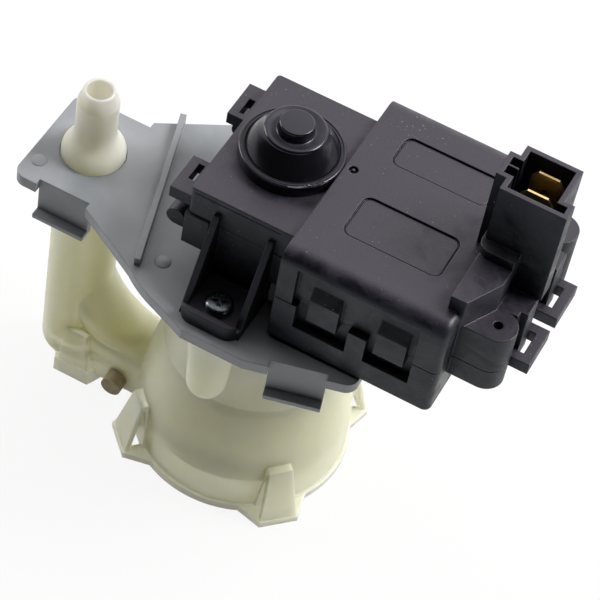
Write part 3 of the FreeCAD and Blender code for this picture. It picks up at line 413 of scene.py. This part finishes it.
def metal(name, dark, light, rough, size_mm, depth_mm, smooth_edge=0.1):
    """A bare metal with small changes of tone and a faint surface relief."""
    material, tree, shader, place = new_material(name)
    patches = noise(tree, place, size_mm, 3.0, 0.6)
    fill(tree, shader, {
        "Base Color": between(tree, patches, dark, light),
        "Roughness": span(tree, patches, rough - 0.06, rough + 0.06),
        "Normal": relief(tree, patches, depth_mm, 0.5, smooth_edge),
        "Metallic": 1.0})
    return material


def zinc_plated_steel():
    """Dulled zinc over rolled steel: grey with a blue cast, and small tumbling marks."""
    return metal("zinc_plated_steel", "#4b5155", "#80888c", 0.30, 0.5, 0.02)


def ground_stainless():
    """Ground stainless steel of the shaft: pale and close to a mirror."""
    return metal("ground_stainless", "#a3a3a2", "#c0c0be", 0.22, 0.6, 0.004)


def stamped_brass():
    """Stamped brass blades: yellow metal, dulled by handling."""
    return metal("stamped_brass", "#cbab70", "#e0c690", 0.33, 1.5, 0.003, 0.0)


def sintered_bronze():
    """Oil-filled sintered bronze: brown, matt and dotted with open pores."""
    return metal("sintered_bronze", "#7d5c37", "#9a7549", 0.45, 0.4, 0.03)


def laminated_steel():
    """Stamped sheets in a stack, 0.5 mm each, with a grey oxide."""
    material, tree, shader, place = new_material("laminated_steel")
    wave = ripples(tree, part_of(tree, place, "Z"), 0.5)
    fill(tree, shader, {
        "Base Color": between(tree, wave, "#3c3f43", "#6d7074", 0.0, 0.6),
        "Normal": relief(tree, wave, 0.05, 0.6),
        "Metallic": 1.0,
        "Roughness": 0.42})
    return material


def enamelled_copper():
    """Layers of enamelled wire, 0.3 mm thick, side by side."""
    material, tree, shader, place = new_material("enamelled_copper")
    wave = ripples(tree, part_of(tree, place, "X"), 0.3)
    fill(tree, shader, {
        # Painted shade and highlight: the colour darkens into the grooves between the wires and
        # pales on their crests.
        "Base Color": between(tree, wave, "#6b3216", "#a85a2b", 0.0, 0.9),
        "Normal": relief(tree, wave, 0.12, 0.8),
        "Metallic": 0.8,
        "Roughness": 0.3})
    return material


def sintered_ferrite():
    """Dark pressed ferrite, ground on its outside."""
    material, tree, shader, place = new_material("sintered_ferrite")
    grain = noise(tree, place, 0.5, 3.0, 0.7)
    fill(tree, shader, {
        "Base Color": between(tree, grain, "#2a2a2d", "#3d3d41"),
        "Normal": relief(tree, grain, 0.03, 0.5),
        "Roughness": 0.5,
        "Metallic": 0.3})
    return material


def ivory_polyester():
    """Moulded ivory polyester of the inner moving pieces: hard, even, slightly glossy."""
    material, tree, shader, place = new_material("ivory_polyester")
    grain = noise(tree, place, 0.8, 2.0)
    fill(tree, shader, {
        "Base Color": between(tree, grain, "#d2cebf", "#dcd8ca"),
        "Normal": relief(tree, grain, 0.01, 0.4, 0.2),
        "Roughness": 0.35})
    return material


FINISHES = {
    "nylon_black": glass_filled_nylon,
    "pp_grey": grey_polypropylene,
    "pp_natural": natural_polypropylene,
    "rubber_black": epdm_rubber,
    "rubber_beige": beige_rubber,
    "steel_zinc": zinc_plated_steel,
    "steel_stainless": ground_stainless,
    "steel_laminated": laminated_steel,
    "brass_tinned": stamped_brass,
    "bronze_sintered": sintered_bronze,
    "copper_enamelled": enamelled_copper,
    "ferrite": sintered_ferrite,
    "pbt_white": ivory_polyester,
}
MADE = {}


def finish_of(slot):
    """The material of a slot, made once."""
    if slot not in MADE:
        MADE[slot] = FINISHES[slot]()
    return MADE[slot]


# Sizes and colours that a user would change

class PumpSizes(bpy.types.PropertyGroup):
    """Sizes of the fine pieces"""
    panel_depth: FloatProperty(
        name="Panel depth", description="Depth of the two sunken panels",
        default=0.25 * MM, unit="LENGTH")
    panel_line: FloatProperty(
        name="Panel line", description="Width of the line round each panel",
        default=0.3 * MM, unit="LENGTH")
    panel_corner: FloatProperty(
        name="Panel corner", description="Corner radius of the sunken panels",
        default=1.8 * MM, unit="LENGTH")
    recess_reach: FloatProperty(
        name="Cross reach", description="Half length of the screw's cross",
        default=1.5 * MM, unit="LENGTH")
    mark_radius: FloatProperty(
        name="Mark radius", description="Radius of the ejector marks",
        default=1.6 * MM, unit="LENGTH")
    key_light: FloatProperty(
        name="Key light", description="Power of the softbox above",
        default=23.0, subtype="POWER")


class PumpColours(bpy.types.PropertyGroup):
    """Colours of the stage"""
    floor: FloatVectorProperty(
        name="Floor", description="Colour of the floor", subtype="COLOR",
        size=4, default=linear("#cfcfcd"), min=0, max=1)


# The pieces

class FinishNodes(bpy.types.Operator):
    """Gives every CAD node the finish of its material slot"""
    bl_idname = "pump.finish_nodes"
    bl_label = "Finish the CAD nodes"

    def execute(self, context):
        for entry in frame["record"]["subparts"]:
            mesh = NODES[entry["node"]].data
            mesh.materials.clear()
            mesh.materials.append(finish_of(entry["material_slot"]))
        return {"FINISHED"}


# Points of the cap as radius and rise over its ledge, in mm: the two raised lines, the bell,
# the dip inside its shoulder, and the hollow below.
CAP_LINES = ((9.6, 0), (9.54, 0.12), (9.4, 0.12), (9.34, -0.05),
             (9.05, -0.05), (8.98, 0.04), (8.88, 0.04), (8.8, -0.1))
CAP_BELL = ((8.38, 0.7), (7.88, 1.6), (7.32, 2.5), (6.7, 3.4), (6.05, 4.2))
CAP_DIP = ((4.8, 4.7), (4.3, 4.5))
CAP_HOLLOW = ((1.9, 3.2), (3.9, 3.2), (6.4, 0))


def over(level, points):
    """Points of (radius, rise) in mm, as (radius, height) in metres over a level."""
    return [(radius * MM, level + rise * MM) for radius, rise in points]


def cap_rim():
    """The radius of the cap's rim, which bulges a little where the cap is pressed on."""
    return high("rubber_cap").x + 0.18 * MM


def cap_ledge():
    """The height of the ledge round the cap's bell."""
    return low("rubber_cap").z + CAP_LEDGE


class BuildCap(bpy.types.Operator):
    """Makes the bell-shaped rubber cap over the upper bearing"""
    bl_idname = "pump.build_cap"
    bl_label = "Rubber cap"

    def execute(self, context):
        foot = low("rubber_cap").z
        top = high("rubber_cap").z
        rim, ledge = cap_rim(), cap_ledge()
        soft = 0.35 * MM
        profile = [(rim, foot)]
        profile += arc((rim - soft, ledge - soft), soft, 0, 90, 4)
        profile += over(ledge, CAP_LINES + CAP_BELL)
        # The rounded shoulder, the dip behind it, and the button with its soft foot and edge
        profile += arc((5.38 * MM, ledge + 4.28 * MM), 0.6 * MM, 15, 100, 8)
        profile += over(ledge, CAP_DIP)
        profile += arc((3.75 * MM, ledge + 4.75 * MM), soft, 280, 190, 4)
        profile += arc((2.95 * MM, top - soft), soft, 0, 90, 5)
        profile.append((0, top))
        profile.append((0, top - 1.4 * MM))
        profile += over(ledge, CAP_HOLLOW)
        profile += [(7.0 * MM, foot), (rim, foot)]
        bm = bmesh.new()
        lathe(bm, profile, 128)
        piece = add_piece("cap_bell", finish_mesh(bm, "cap_bell", 50), "housing",
                          finish_of("rubber_black"))
        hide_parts("rubber_cap")
        return {"FINISHED"}


def new_tree(name, sockets):
    """A geometry node tree with its inputs, as (label, type), and one output."""
    tree = bpy.data.node_groups.new(name, "GeometryNodeTree")
    tree.is_modifier = True
    for label, kind in sockets:
        tree.interface.new_socket(label, in_out="INPUT", socket_type="NodeSocket" + kind)
    tree.interface.new_socket("Mesh", in_out="OUTPUT", socket_type="NodeSocketGeometry")
    return tree


def end_tree(tree, geometry, finish):
    """Makes instances real, gives them their finish and ends the tree."""
    real = add_node(tree, "GeometryNodeRealizeInstances", inputs={0: geometry}).outputs[0]
    done = add_node(tree, "GeometryNodeSetMaterial", inputs={"Geometry": real, "Material": finish})
    add_node(tree, "NodeGroupOutput", inputs={0: done.outputs[0]})


def grow(name, tree, values, mesh=None):
    """Runs a node tree on a mesh with the given inputs and returns the plain mesh."""
    base = link(name, mesh or bpy.data.meshes.new(name))
    grower = base.modifiers.new(name, "NODES")
    grower.node_group = tree
    for item in tree.interface.items_tree:
        if item.in_out == "INPUT" and item.name in values:
            grower[item.identifier] = values[item.name]
    made = evaluated(base)
    bpy.data.objects.remove(base)
    return made


def panel_tree():
    """A tree that makes a closed slab with round corners, centred on its place."""
    tree = new_tree("rounded_panel", (
        ("Mesh", "Geometry"), ("Width", "Float"), ("Length", "Float"), ("Corner", "Float"),
        ("Depth", "Float"), ("Place", "Vector"), ("Finish", "Material")))
    given = add_node(tree, "NodeGroupInput").outputs
    outline = add_node(tree, "GeometryNodeCurvePrimitiveQuadrilateral",
                       inputs={"Width": given["Width"], "Height": given["Length"]}).outputs[0]
    rounded = add_node(tree, "GeometryNodeFilletCurve", {"mode": "POLY"},
                       {"Curve": outline, "Radius": given["Corner"], "Count": 10}).outputs[0]
    sheet = add_node(tree, "GeometryNodeFillCurve", {"mode": "NGONS"}, {0: rounded}).outputs[0]
    lift = add_node(tree, "ShaderNodeCombineXYZ", inputs={"Z": given["Depth"]}).outputs[0]
    raised = add_node(tree, "GeometryNodeExtrudeMesh", {"mode": "FACES"},
                      {"Mesh": sheet, "Offset": lift, "Offset Scale": 1.0, "Individual": False})
    under = add_node(tree, "GeometryNodeFlipFaces", inputs={0: sheet}).outputs[0]
    both = add_node(tree, "GeometryNodeJoinGeometry", inputs={0: raised.outputs[0]})
    tree.links.new(under, both.inputs[0])
    closed = add_node(tree, "GeometryNodeMergeByDistance",
                      inputs={"Geometry": both.outputs[0], "Distance": 0.001 * MM}).outputs[0]
    moved = add_node(tree, "GeometryNodeTransform",
                     inputs={"Geometry": closed, "Translation": given["Place"]}).outputs[0]
    end_tree(tree, moved, given["Finish"])
    return tree


def copies_tree():
    """A tree that sets a turned copy of a master shape on every point of a mesh."""
    tree = new_tree("copies_on_points", (("Points", "Geometry"), ("Master", "Object"),
                                         ("Turn", "Float"), ("Finish", "Material")))
    given = add_node(tree, "NodeGroupInput").outputs
    master = add_node(tree, "GeometryNodeObjectInfo", inputs={"Object": given["Master"]})
    turn = add_node(tree, "ShaderNodeCombineXYZ", inputs={"Z": given["Turn"]}).outputs[0]
    spread = add_node(tree, "GeometryNodeInstanceOnPoints", inputs={
        "Points": given["Points"], "Instance": master.outputs["Geometry"],
        "Rotation": turn}).outputs[0]
    end_tree(tree, spread, given["Finish"])
    return tree


def copies(name, master_mesh, spots, turn, finish):
    """One plain mesh with a copy of the master at each spot."""
    points = bpy.data.meshes.new(name + "_points")
    points.from_pydata(spots, [], [])
    master = link(name + "_master", master_mesh)
    made = grow(name, copies_tree(), {"Master": master, "Turn": turn, "Finish": finish}, points)
    bpy.data.objects.remove(master)
    return made


PANEL_WIDTH = 19.6 * MM
PANEL_MIDDLE = 26.2 * MM
PANEL_FRONTS_AND_REARS = ((-12.9 * MM, -2.5 * MM), (6.9 * MM, 14.8 * MM))
TOOL_HEIGHT = 1.0 * MM
GATE = (11.75 * MM, 1.56 * MM)


class BuildCover(bpy.types.Operator):
    """Makes the motor cover with its two sunken panels and the ring round its gate mark"""
    bl_idname = "pump.build_cover"
    bl_label = "Motor cover"

    def execute(self, context):
        sizes = context.scene.pump_sizes
        finish = finish_of("nylon_black")
        tree = panel_tree()
        tools = []
        for front, rear in PANEL_FRONTS_AND_REARS:
            sheet = {"Width": PANEL_WIDTH, "Length": rear - front, "Depth": TOOL_HEIGHT,
                     "Corner": sizes.panel_corner, "Finish": finish}
            middle = Vector((PANEL_MIDDLE, (front + rear) / 2, COVER_TOP))
            tools += panel_tools(tree, sheet, middle, sizes.panel_depth, sizes.panel_line)
        tools.append(gate_ring())
        mesh = carved("motor_cover", "cover_shell", tools)
        piece = add_piece("cover_shell", mesh, "housing", finish)
        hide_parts("motor_cover")
        return {"FINISHED"}


def carved(node, name, tools):
    """A merged copy of a node's mesh with the tool meshes cut away."""
    bm = loaded(NODES[node].data)
    bmesh.ops.remove_doubles(bm, verts=bm.verts, dist=0.002 * MM)
    mesh = bpy.data.meshes.new(name)
    bm.to_mesh(mesh)
    bm.free()
    made = cut(mesh, *tools)
    # Flat faces stay clean after the cuts, and the material's eased edges soften them.
    made.shade_flat()
    return made


def panel_tools(tree, sheet, middle, depth, line):
    """The tools for one panel: its shallow floor, and the deeper line round it."""
    floor = grow("panel", tree, {**sheet, "Place": middle - Vector((0, 0, depth))})
    deeper = middle - Vector((0, 0, depth + 0.25 * MM))
    outside = grow("panel", tree, {**sheet, "Place": deeper})
    core = {**sheet, "Width": sheet["Width"] - 2 * line, "Length": sheet["Length"] - 2 * line,
            "Corner": sheet["Corner"] - line, "Depth": 3 * TOOL_HEIGHT,
            "Place": deeper - Vector((0, 0, TOOL_HEIGHT))}
    return [floor, cut(outside, grow("inside", tree, core))]


def gate_ring():
    """A ring-shaped tool for the sunken ring round the moulding gate."""
    bottom, rise = COVER_TOP - TOOL_HEIGHT, COVER_TOP + TOOL_HEIGHT
    profile = [(0.35 * MM, bottom), (0.85 * MM, bottom), (0.95 * MM, rise), (0.25 * MM, rise)]
    bm = bmesh.new()
    lathe(bm, [*profile, profile[0]], 32, GATE)
    return finish_mesh(bm, "gate_ring")


class BuildScrews(bpy.types.Operator):
    """Makes the two pan-head screws with cross recesses and threads"""
    bl_idname = "pump.build_screws"
    bl_label = "Plate screws"

    def execute(self, context):
        finish = finish_of("steel_zinc")
        lowest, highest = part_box("plate_screw_front")
        bm = bmesh.new()
        lathe(bm, [*thread_profile(lowest.z - highest.z, -SCREW_HEAD, 1.45 * MM),
                   *head_profile((highest.x - lowest.x) / 2)], 48)
        cross = cross_tool(context.scene.pump_sizes.recess_reach)
        master = finish_mesh(loaded(cut(finish_mesh(bm, "screw", 50), cross)), "screw", 45)
        spots = tops(("plate_screw_front", "plate_screw_rear"))
        made = copies("plate_screws", master, spots, math.radians(20), finish)
        piece = add_piece("plate_screws", made, "housing", finish)
        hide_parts("plate_screw_front", "plate_screw_rear")
        return {"FINISHED"}


def head_profile(radius):
    """A pan head whose top is at height 0, from its rim to the middle."""
    seat = -SCREW_HEAD
    edge = 0.3 * radius
    points = [(radius * 0.97, seat), (radius, seat + SCREW_HEAD * 0.2)]
    points += arc((radius - edge, seat + SCREW_HEAD * 0.94 - edge), edge, 0, 78, 7)
    return [*points, (radius * 0.4, seat + SCREW_HEAD * 0.985), (0, 0)]


def thread_profile(tip, seat, radius):
    """The shank from its tip to the head, with its thread crests."""
    pitch = 1.1 * MM
    points = [(0, tip), (0.55 * MM, tip)]
    height = tip + 0.5 * MM
    while height < seat - 1.6 * MM:
        points += [(radius * 0.74, height), (radius, height + pitch / 2)]
        height += pitch
    return [*points, (radius * 0.8, height), (radius * 0.8, seat)]


def cross_tool(reach):
    """A tapered cross that cuts the recess of a screw whose top is at height 0."""
    half = 0.42 * MM
    turns = [Matrix.Rotation(quarter * math.pi / 2, 3, "Z") for quarter in range(4)]
    bm = bmesh.new()
    rings = []
    for height, out, wide in ((-1.2 * MM, reach * 0.45, half * 0.8), (0.3 * MM, reach, half)):
        arm = [Vector((x, y, height)) for x, y in ((out, -wide), (out, wide), (wide, wide))]
        rings.append([bm.verts.new(turn @ spot) for turn in turns for spot in arm])
    close_ends(bm, rings)
    return finish_mesh(bm, "cross_tool")


class BuildBlades(bpy.types.Operator):
    """Makes the two spade blades with coined tips and a detent hole"""
    bl_idname = "pump.build_blades"
    bl_label = "Spade blades"

    def execute(self, context):
        finish = finish_of("brass_tinned")
        nodes = ("spade_terminal_front", "spade_terminal_rear")
        size = high(nodes[0]) - low(nodes[0])
        made = copies("spade_blades", blade_mesh(*size), tops(nodes), 0.0, finish)
        piece = add_piece("spade_blades", made, "housing", finish)
        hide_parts("spade_terminal_front", "spade_terminal_rear")
        return {"FINISHED"}


def blade_mesh(width, thick, length):
    """A blade that hangs from height 0, thinned to a bright edge at its tip, with a hole."""
    half = width / 2
    slope = 1.15 * MM
    bevel = 0.6 * MM
    outline = [(-half, -length), (half, -length), (half, -1.3 * slope),
               (half - slope, 0), (slope - half, 0), (-half, -1.3 * slope)]
    inset = [(-half, -length), (half, -length), (half, -1.3 * slope - bevel),
             (half - slope - 0.4 * bevel, -bevel), (slope - half + 0.4 * bevel, -bevel),
             (-half, -1.3 * slope - bevel)]
    bm = bmesh.new()
    rings = []
    for side, ring in ((-0.5, inset), (-0.28, outline), (0.28, outline), (0.5, inset)):
        rings.append([bm.verts.new((x, side * thick, z)) for x, z in ring])
    close_ends(bm, rings)
    blade = finish_mesh(bm, "blade", 20)
    bore, depth = 0.8 * MM, 4.2 * MM
    bm = bmesh.new()
    lathe(bm, [(0, -thick), (bore, -thick), (bore, thick), (0, thick)], 32)
    bm.transform(Matrix.Translation((0, 0, -depth)) @ Matrix.Rotation(math.pi / 2, 4, "X"))
    return finish_mesh(loaded(cut(blade, finish_mesh(bm, "hole"))), "blade", 20)


MARK_SPOTS = ((-46.4 * MM, -9.5 * MM, PLATE_TOP), (-14.4 * MM, -18.2 * MM, PLATE_TOP))


class BuildMarks(bpy.types.Operator):
    """Makes the round marks that the mould's ejector pins left on the plate"""
    bl_idname = "pump.build_marks"
    bl_label = "Ejector marks"

    def execute(self, context):
        reach = context.scene.pump_sizes.mark_radius
        rise = 0.07 * MM
        profile = [(0, -rise), (reach, -rise), (reach, 0),
                   (reach - 0.15 * MM, rise), (0, rise * 0.8)]
        bm = bmesh.new()
        lathe(bm, profile, 48)
        finish = finish_of("pp_grey")
        made = copies("ejector_marks", finish_mesh(bm, "mark", 30), MARK_SPOTS, 0.0, finish)
        add_piece("ejector_marks", made, "housing", finish)
        return {"FINISHED"}


class BuildEdges(bpy.types.Operator):
    """Makes two moulding edges: the line under the motor's top edge and the cap's torn flash"""
    bl_idname = "pump.build_edges"
    bl_label = "Moulding edges"

    def execute(self, context):
        line_size = (17.6 * MM, 0.12 * MM, 0.16 * MM, 1.0)
        line_place = (-1.9 * MM, SQUARE_FRONT, SQUARE_LINE)
        bm = bmesh.new()
        bmesh.ops.create_cube(bm, size=1.0)
        bm.transform(Matrix.Translation(line_place) @ Matrix.Diagonal(line_size))
        add_piece("edge_line", finish_mesh(bm, "edge_line", 30), "housing",
                  finish_of("nylon_black"))
        flash = flash_mesh(cap_rim() - 0.12 * MM, cap_ledge())
        add_piece("torn_flash", flash, "housing", torn_rubber())
        return {"FINISHED"}


def flash_mesh(rim, ledge):
    """A thin ragged fin along a part of the cap's rim, left by the press."""
    dice = random.Random(7)
    steps = 64
    foot = ledge - 0.15 * MM
    bm = bmesh.new()
    sections = []
    for i in range(steps + 1):
        share = i / steps
        angle = math.radians(-68 + 46 * share)
        swell = math.sin(math.pi * share ** 1.7)
        tall = (0.03 + (0.35 + 0.85 * dice.random()) * swell ** 2) * MM
        lean = dice.uniform(-0.1, 0.7) * swell ** 2 * MM
        thick = (0.08 + 0.22 * swell) * MM
        tip = ledge + tall
        outline = ((rim - thick, foot), (rim + thick, foot),
                   (rim + thick * 0.5 + lean, tip), (rim - thick * 0.5 + lean, tip))
        sections.append([bm.verts.new((radius * math.cos(angle), radius * math.sin(angle), height))
                         for radius, height in outline])
    close_ends(bm, sections)
    return finish_mesh(bm, "torn_flash", 20)


# The stage

# The camera as solved from the photograph: its angles in degrees, its focal length in picture
# widths, and its place in mm from a point on the pump's axis, to the right, up and back.
CAMERA_ANGLES = (18.49, 50.48, 11.78)
CAMERA_FOCAL = 2646.07 / 600
CAMERA_PLACE = (2.36, -22.67, 486.89)
CAMERA_FROM = Vector((0, 0, 76 * MM))
SENSOR_WIDTH = 36


class BuildStage(bpy.types.Operator):
    """Sets the pale floor, the soft lights and the camera"""
    bl_idname = "pump.build_stage"
    bl_label = "Stage"

    def execute(self, context):
        scene = context.scene
        bm = bmesh.new()
        bmesh.ops.create_grid(bm, x_segments=1, y_segments=1, size=6)
        floor = link("floor", finish_mesh(bm, "floor"))
        floor.data.materials.append(floor_finish(scene.pump_colours.floor))
        light_world(scene)
        softbox("light_above", (0.8, 0.45, 1.0), 0.55, scene.pump_sizes.key_light)
        softbox("light_left", (-0.95, 0.05, 0.45), 0.5, 6.0)
        add_camera(scene)
        return {"FINISHED"}


def floor_finish(colour):
    """A matt painted board, which shows as white paper with the pump's soft shadow on it."""
    material, tree, shader, place = new_material("matt_board")
    fill(tree, shader, {"Base Color": colour, "Roughness": 0.9})
    paper = add_node(tree, "ShaderNodeEmission", inputs={"Color": (1, 1, 1, 1), "Strength": 1.0})
    mixed = add_node(tree, "ShaderNodeMixShader", inputs={
        0: seen_directly(tree, 0.9), 1: shader.outputs[0], 2: paper.outputs[0]})
    sink = next(item for item in tree.nodes if item.bl_idname == "ShaderNodeOutputMaterial")
    fill(tree, sink, {"Surface": mixed.outputs[0]})
    return material


def seen_directly(tree, share):
    """The share for rays from the camera, a mirror or a clear body, and 0 for all others."""
    path = add_node(tree, "ShaderNodeLightPath").outputs
    pair = math_of(tree, "MAXIMUM", path["Is Camera Ray"], path["Is Glossy Ray"])
    any_ray = math_of(tree, "MAXIMUM", pair, path["Is Transmission Ray"])
    return math_of(tree, "MULTIPLY", any_ray, share)


def light_world(scene):
    """A room that is pale behind and above the pump and dim in front of it."""
    world = bpy.data.worlds.new("soft_room")
    scene.world = world
    world.use_nodes = True
    tree = world.node_tree
    tree.nodes.clear()
    way = add_node(tree, "ShaderNodeTexCoord").outputs["Generated"]
    brightest = (-0.10, 0.86, 0.50)
    rise = add_node(tree, "ShaderNodeVectorMath", {"operation": "DOT_PRODUCT"},
                    {0: way, 1: brightest}).outputs["Value"]
    level = span(tree, rise, 0.0, 1.78, 0.14, 0.95)
    sky = add_node(tree, "ShaderNodeBackground", inputs={"Color": (1, 1, 1, 1), "Strength": level})
    add_node(tree, "ShaderNodeOutputWorld", inputs={"Surface": sky.outputs[0]})


def softbox(name, spot, size, power):
    """A square lamp that faces the pump."""
    lamp = bpy.data.lights.new(name, "AREA")
    lamp.shape = "SQUARE"
    lamp.size = size
    lamp.energy = power
    item = link(name, lamp)
    item.location = spot
    middle_of_pump = Vector((0, 0, 0.05))
    item.rotation_euler = (middle_of_pump - Vector(spot)).to_track_quat("-Z", "Y").to_euler()


def add_camera(scene):
    """A long lens, turned and tilted as in the photograph, for a square frame."""
    azimuth, elevation, roll = (math.radians(angle) for angle in CAMERA_ANGLES)
    back = Vector((math.sin(azimuth) * math.cos(elevation),
                   -math.cos(azimuth) * math.cos(elevation), math.sin(elevation)))
    level = Vector((math.cos(azimuth), math.sin(azimuth), 0))
    rise = back.cross(level)
    right = level * math.cos(roll) + rise * math.sin(roll)
    up = rise * math.cos(roll) - level * math.sin(roll)
    turn = Matrix((right, up, back)).transposed()
    data = bpy.data.cameras.new("camera")
    data.lens = SENSOR_WIDTH * CAMERA_FOCAL
    data.sensor_width = SENSOR_WIDTH
    data.clip_start = 0.01
    camera = link("camera", data)
    spot = CAMERA_FROM + turn @ Vector(CAMERA_PLACE) * MM
    camera.matrix_world = Matrix.Translation(spot) @ turn.to_4x4()
    scene.camera = camera
    scene.view_settings.view_transform = "Standard"


class PumpPanel(bpy.types.Panel):
    """Lists the sizes, colours and steps of the drain pump"""
    bl_idname = "VIEW3D_PT_drain_pump"
    bl_label = "Drain Pump"
    bl_space_type = "VIEW_3D"
    bl_region_type = "UI"
    bl_category = "Drain Pump"

    def draw(self, context):
        layout = self.layout
        for group in (context.scene.pump_sizes, context.scene.pump_colours):
            for name in group.__annotations__:
                layout.prop(group, name)
        for operator in STEPS:
            layout.operator(operator.bl_idname)


STEPS = (FinishNodes, BuildCover, BuildCap, BuildScrews, BuildBlades, BuildMarks, BuildEdges,
         BuildStage)
CLASSES = (PumpSizes, PumpColours, *STEPS, PumpPanel)


def register():
    """Registers the classes and ties the settings to the scene."""
    for item in CLASSES:
        bpy.utils.register_class(item)
    bpy.types.Scene.pump_sizes = PointerProperty(type=PumpSizes)
    bpy.types.Scene.pump_colours = PointerProperty(type=PumpColours)


def unregister():
    """Takes back what register did."""
    del bpy.types.Scene.pump_colours
    del bpy.types.Scene.pump_sizes
    for item in reversed(CLASSES):
        bpy.utils.unregister_class(item)


def main():
    """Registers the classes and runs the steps."""
    register()
    for step in STEPS:
        group, name = step.bl_idname.split(".")
        getattr(getattr(bpy.ops, group), name)()


if __name__ == "__main__":
    main()
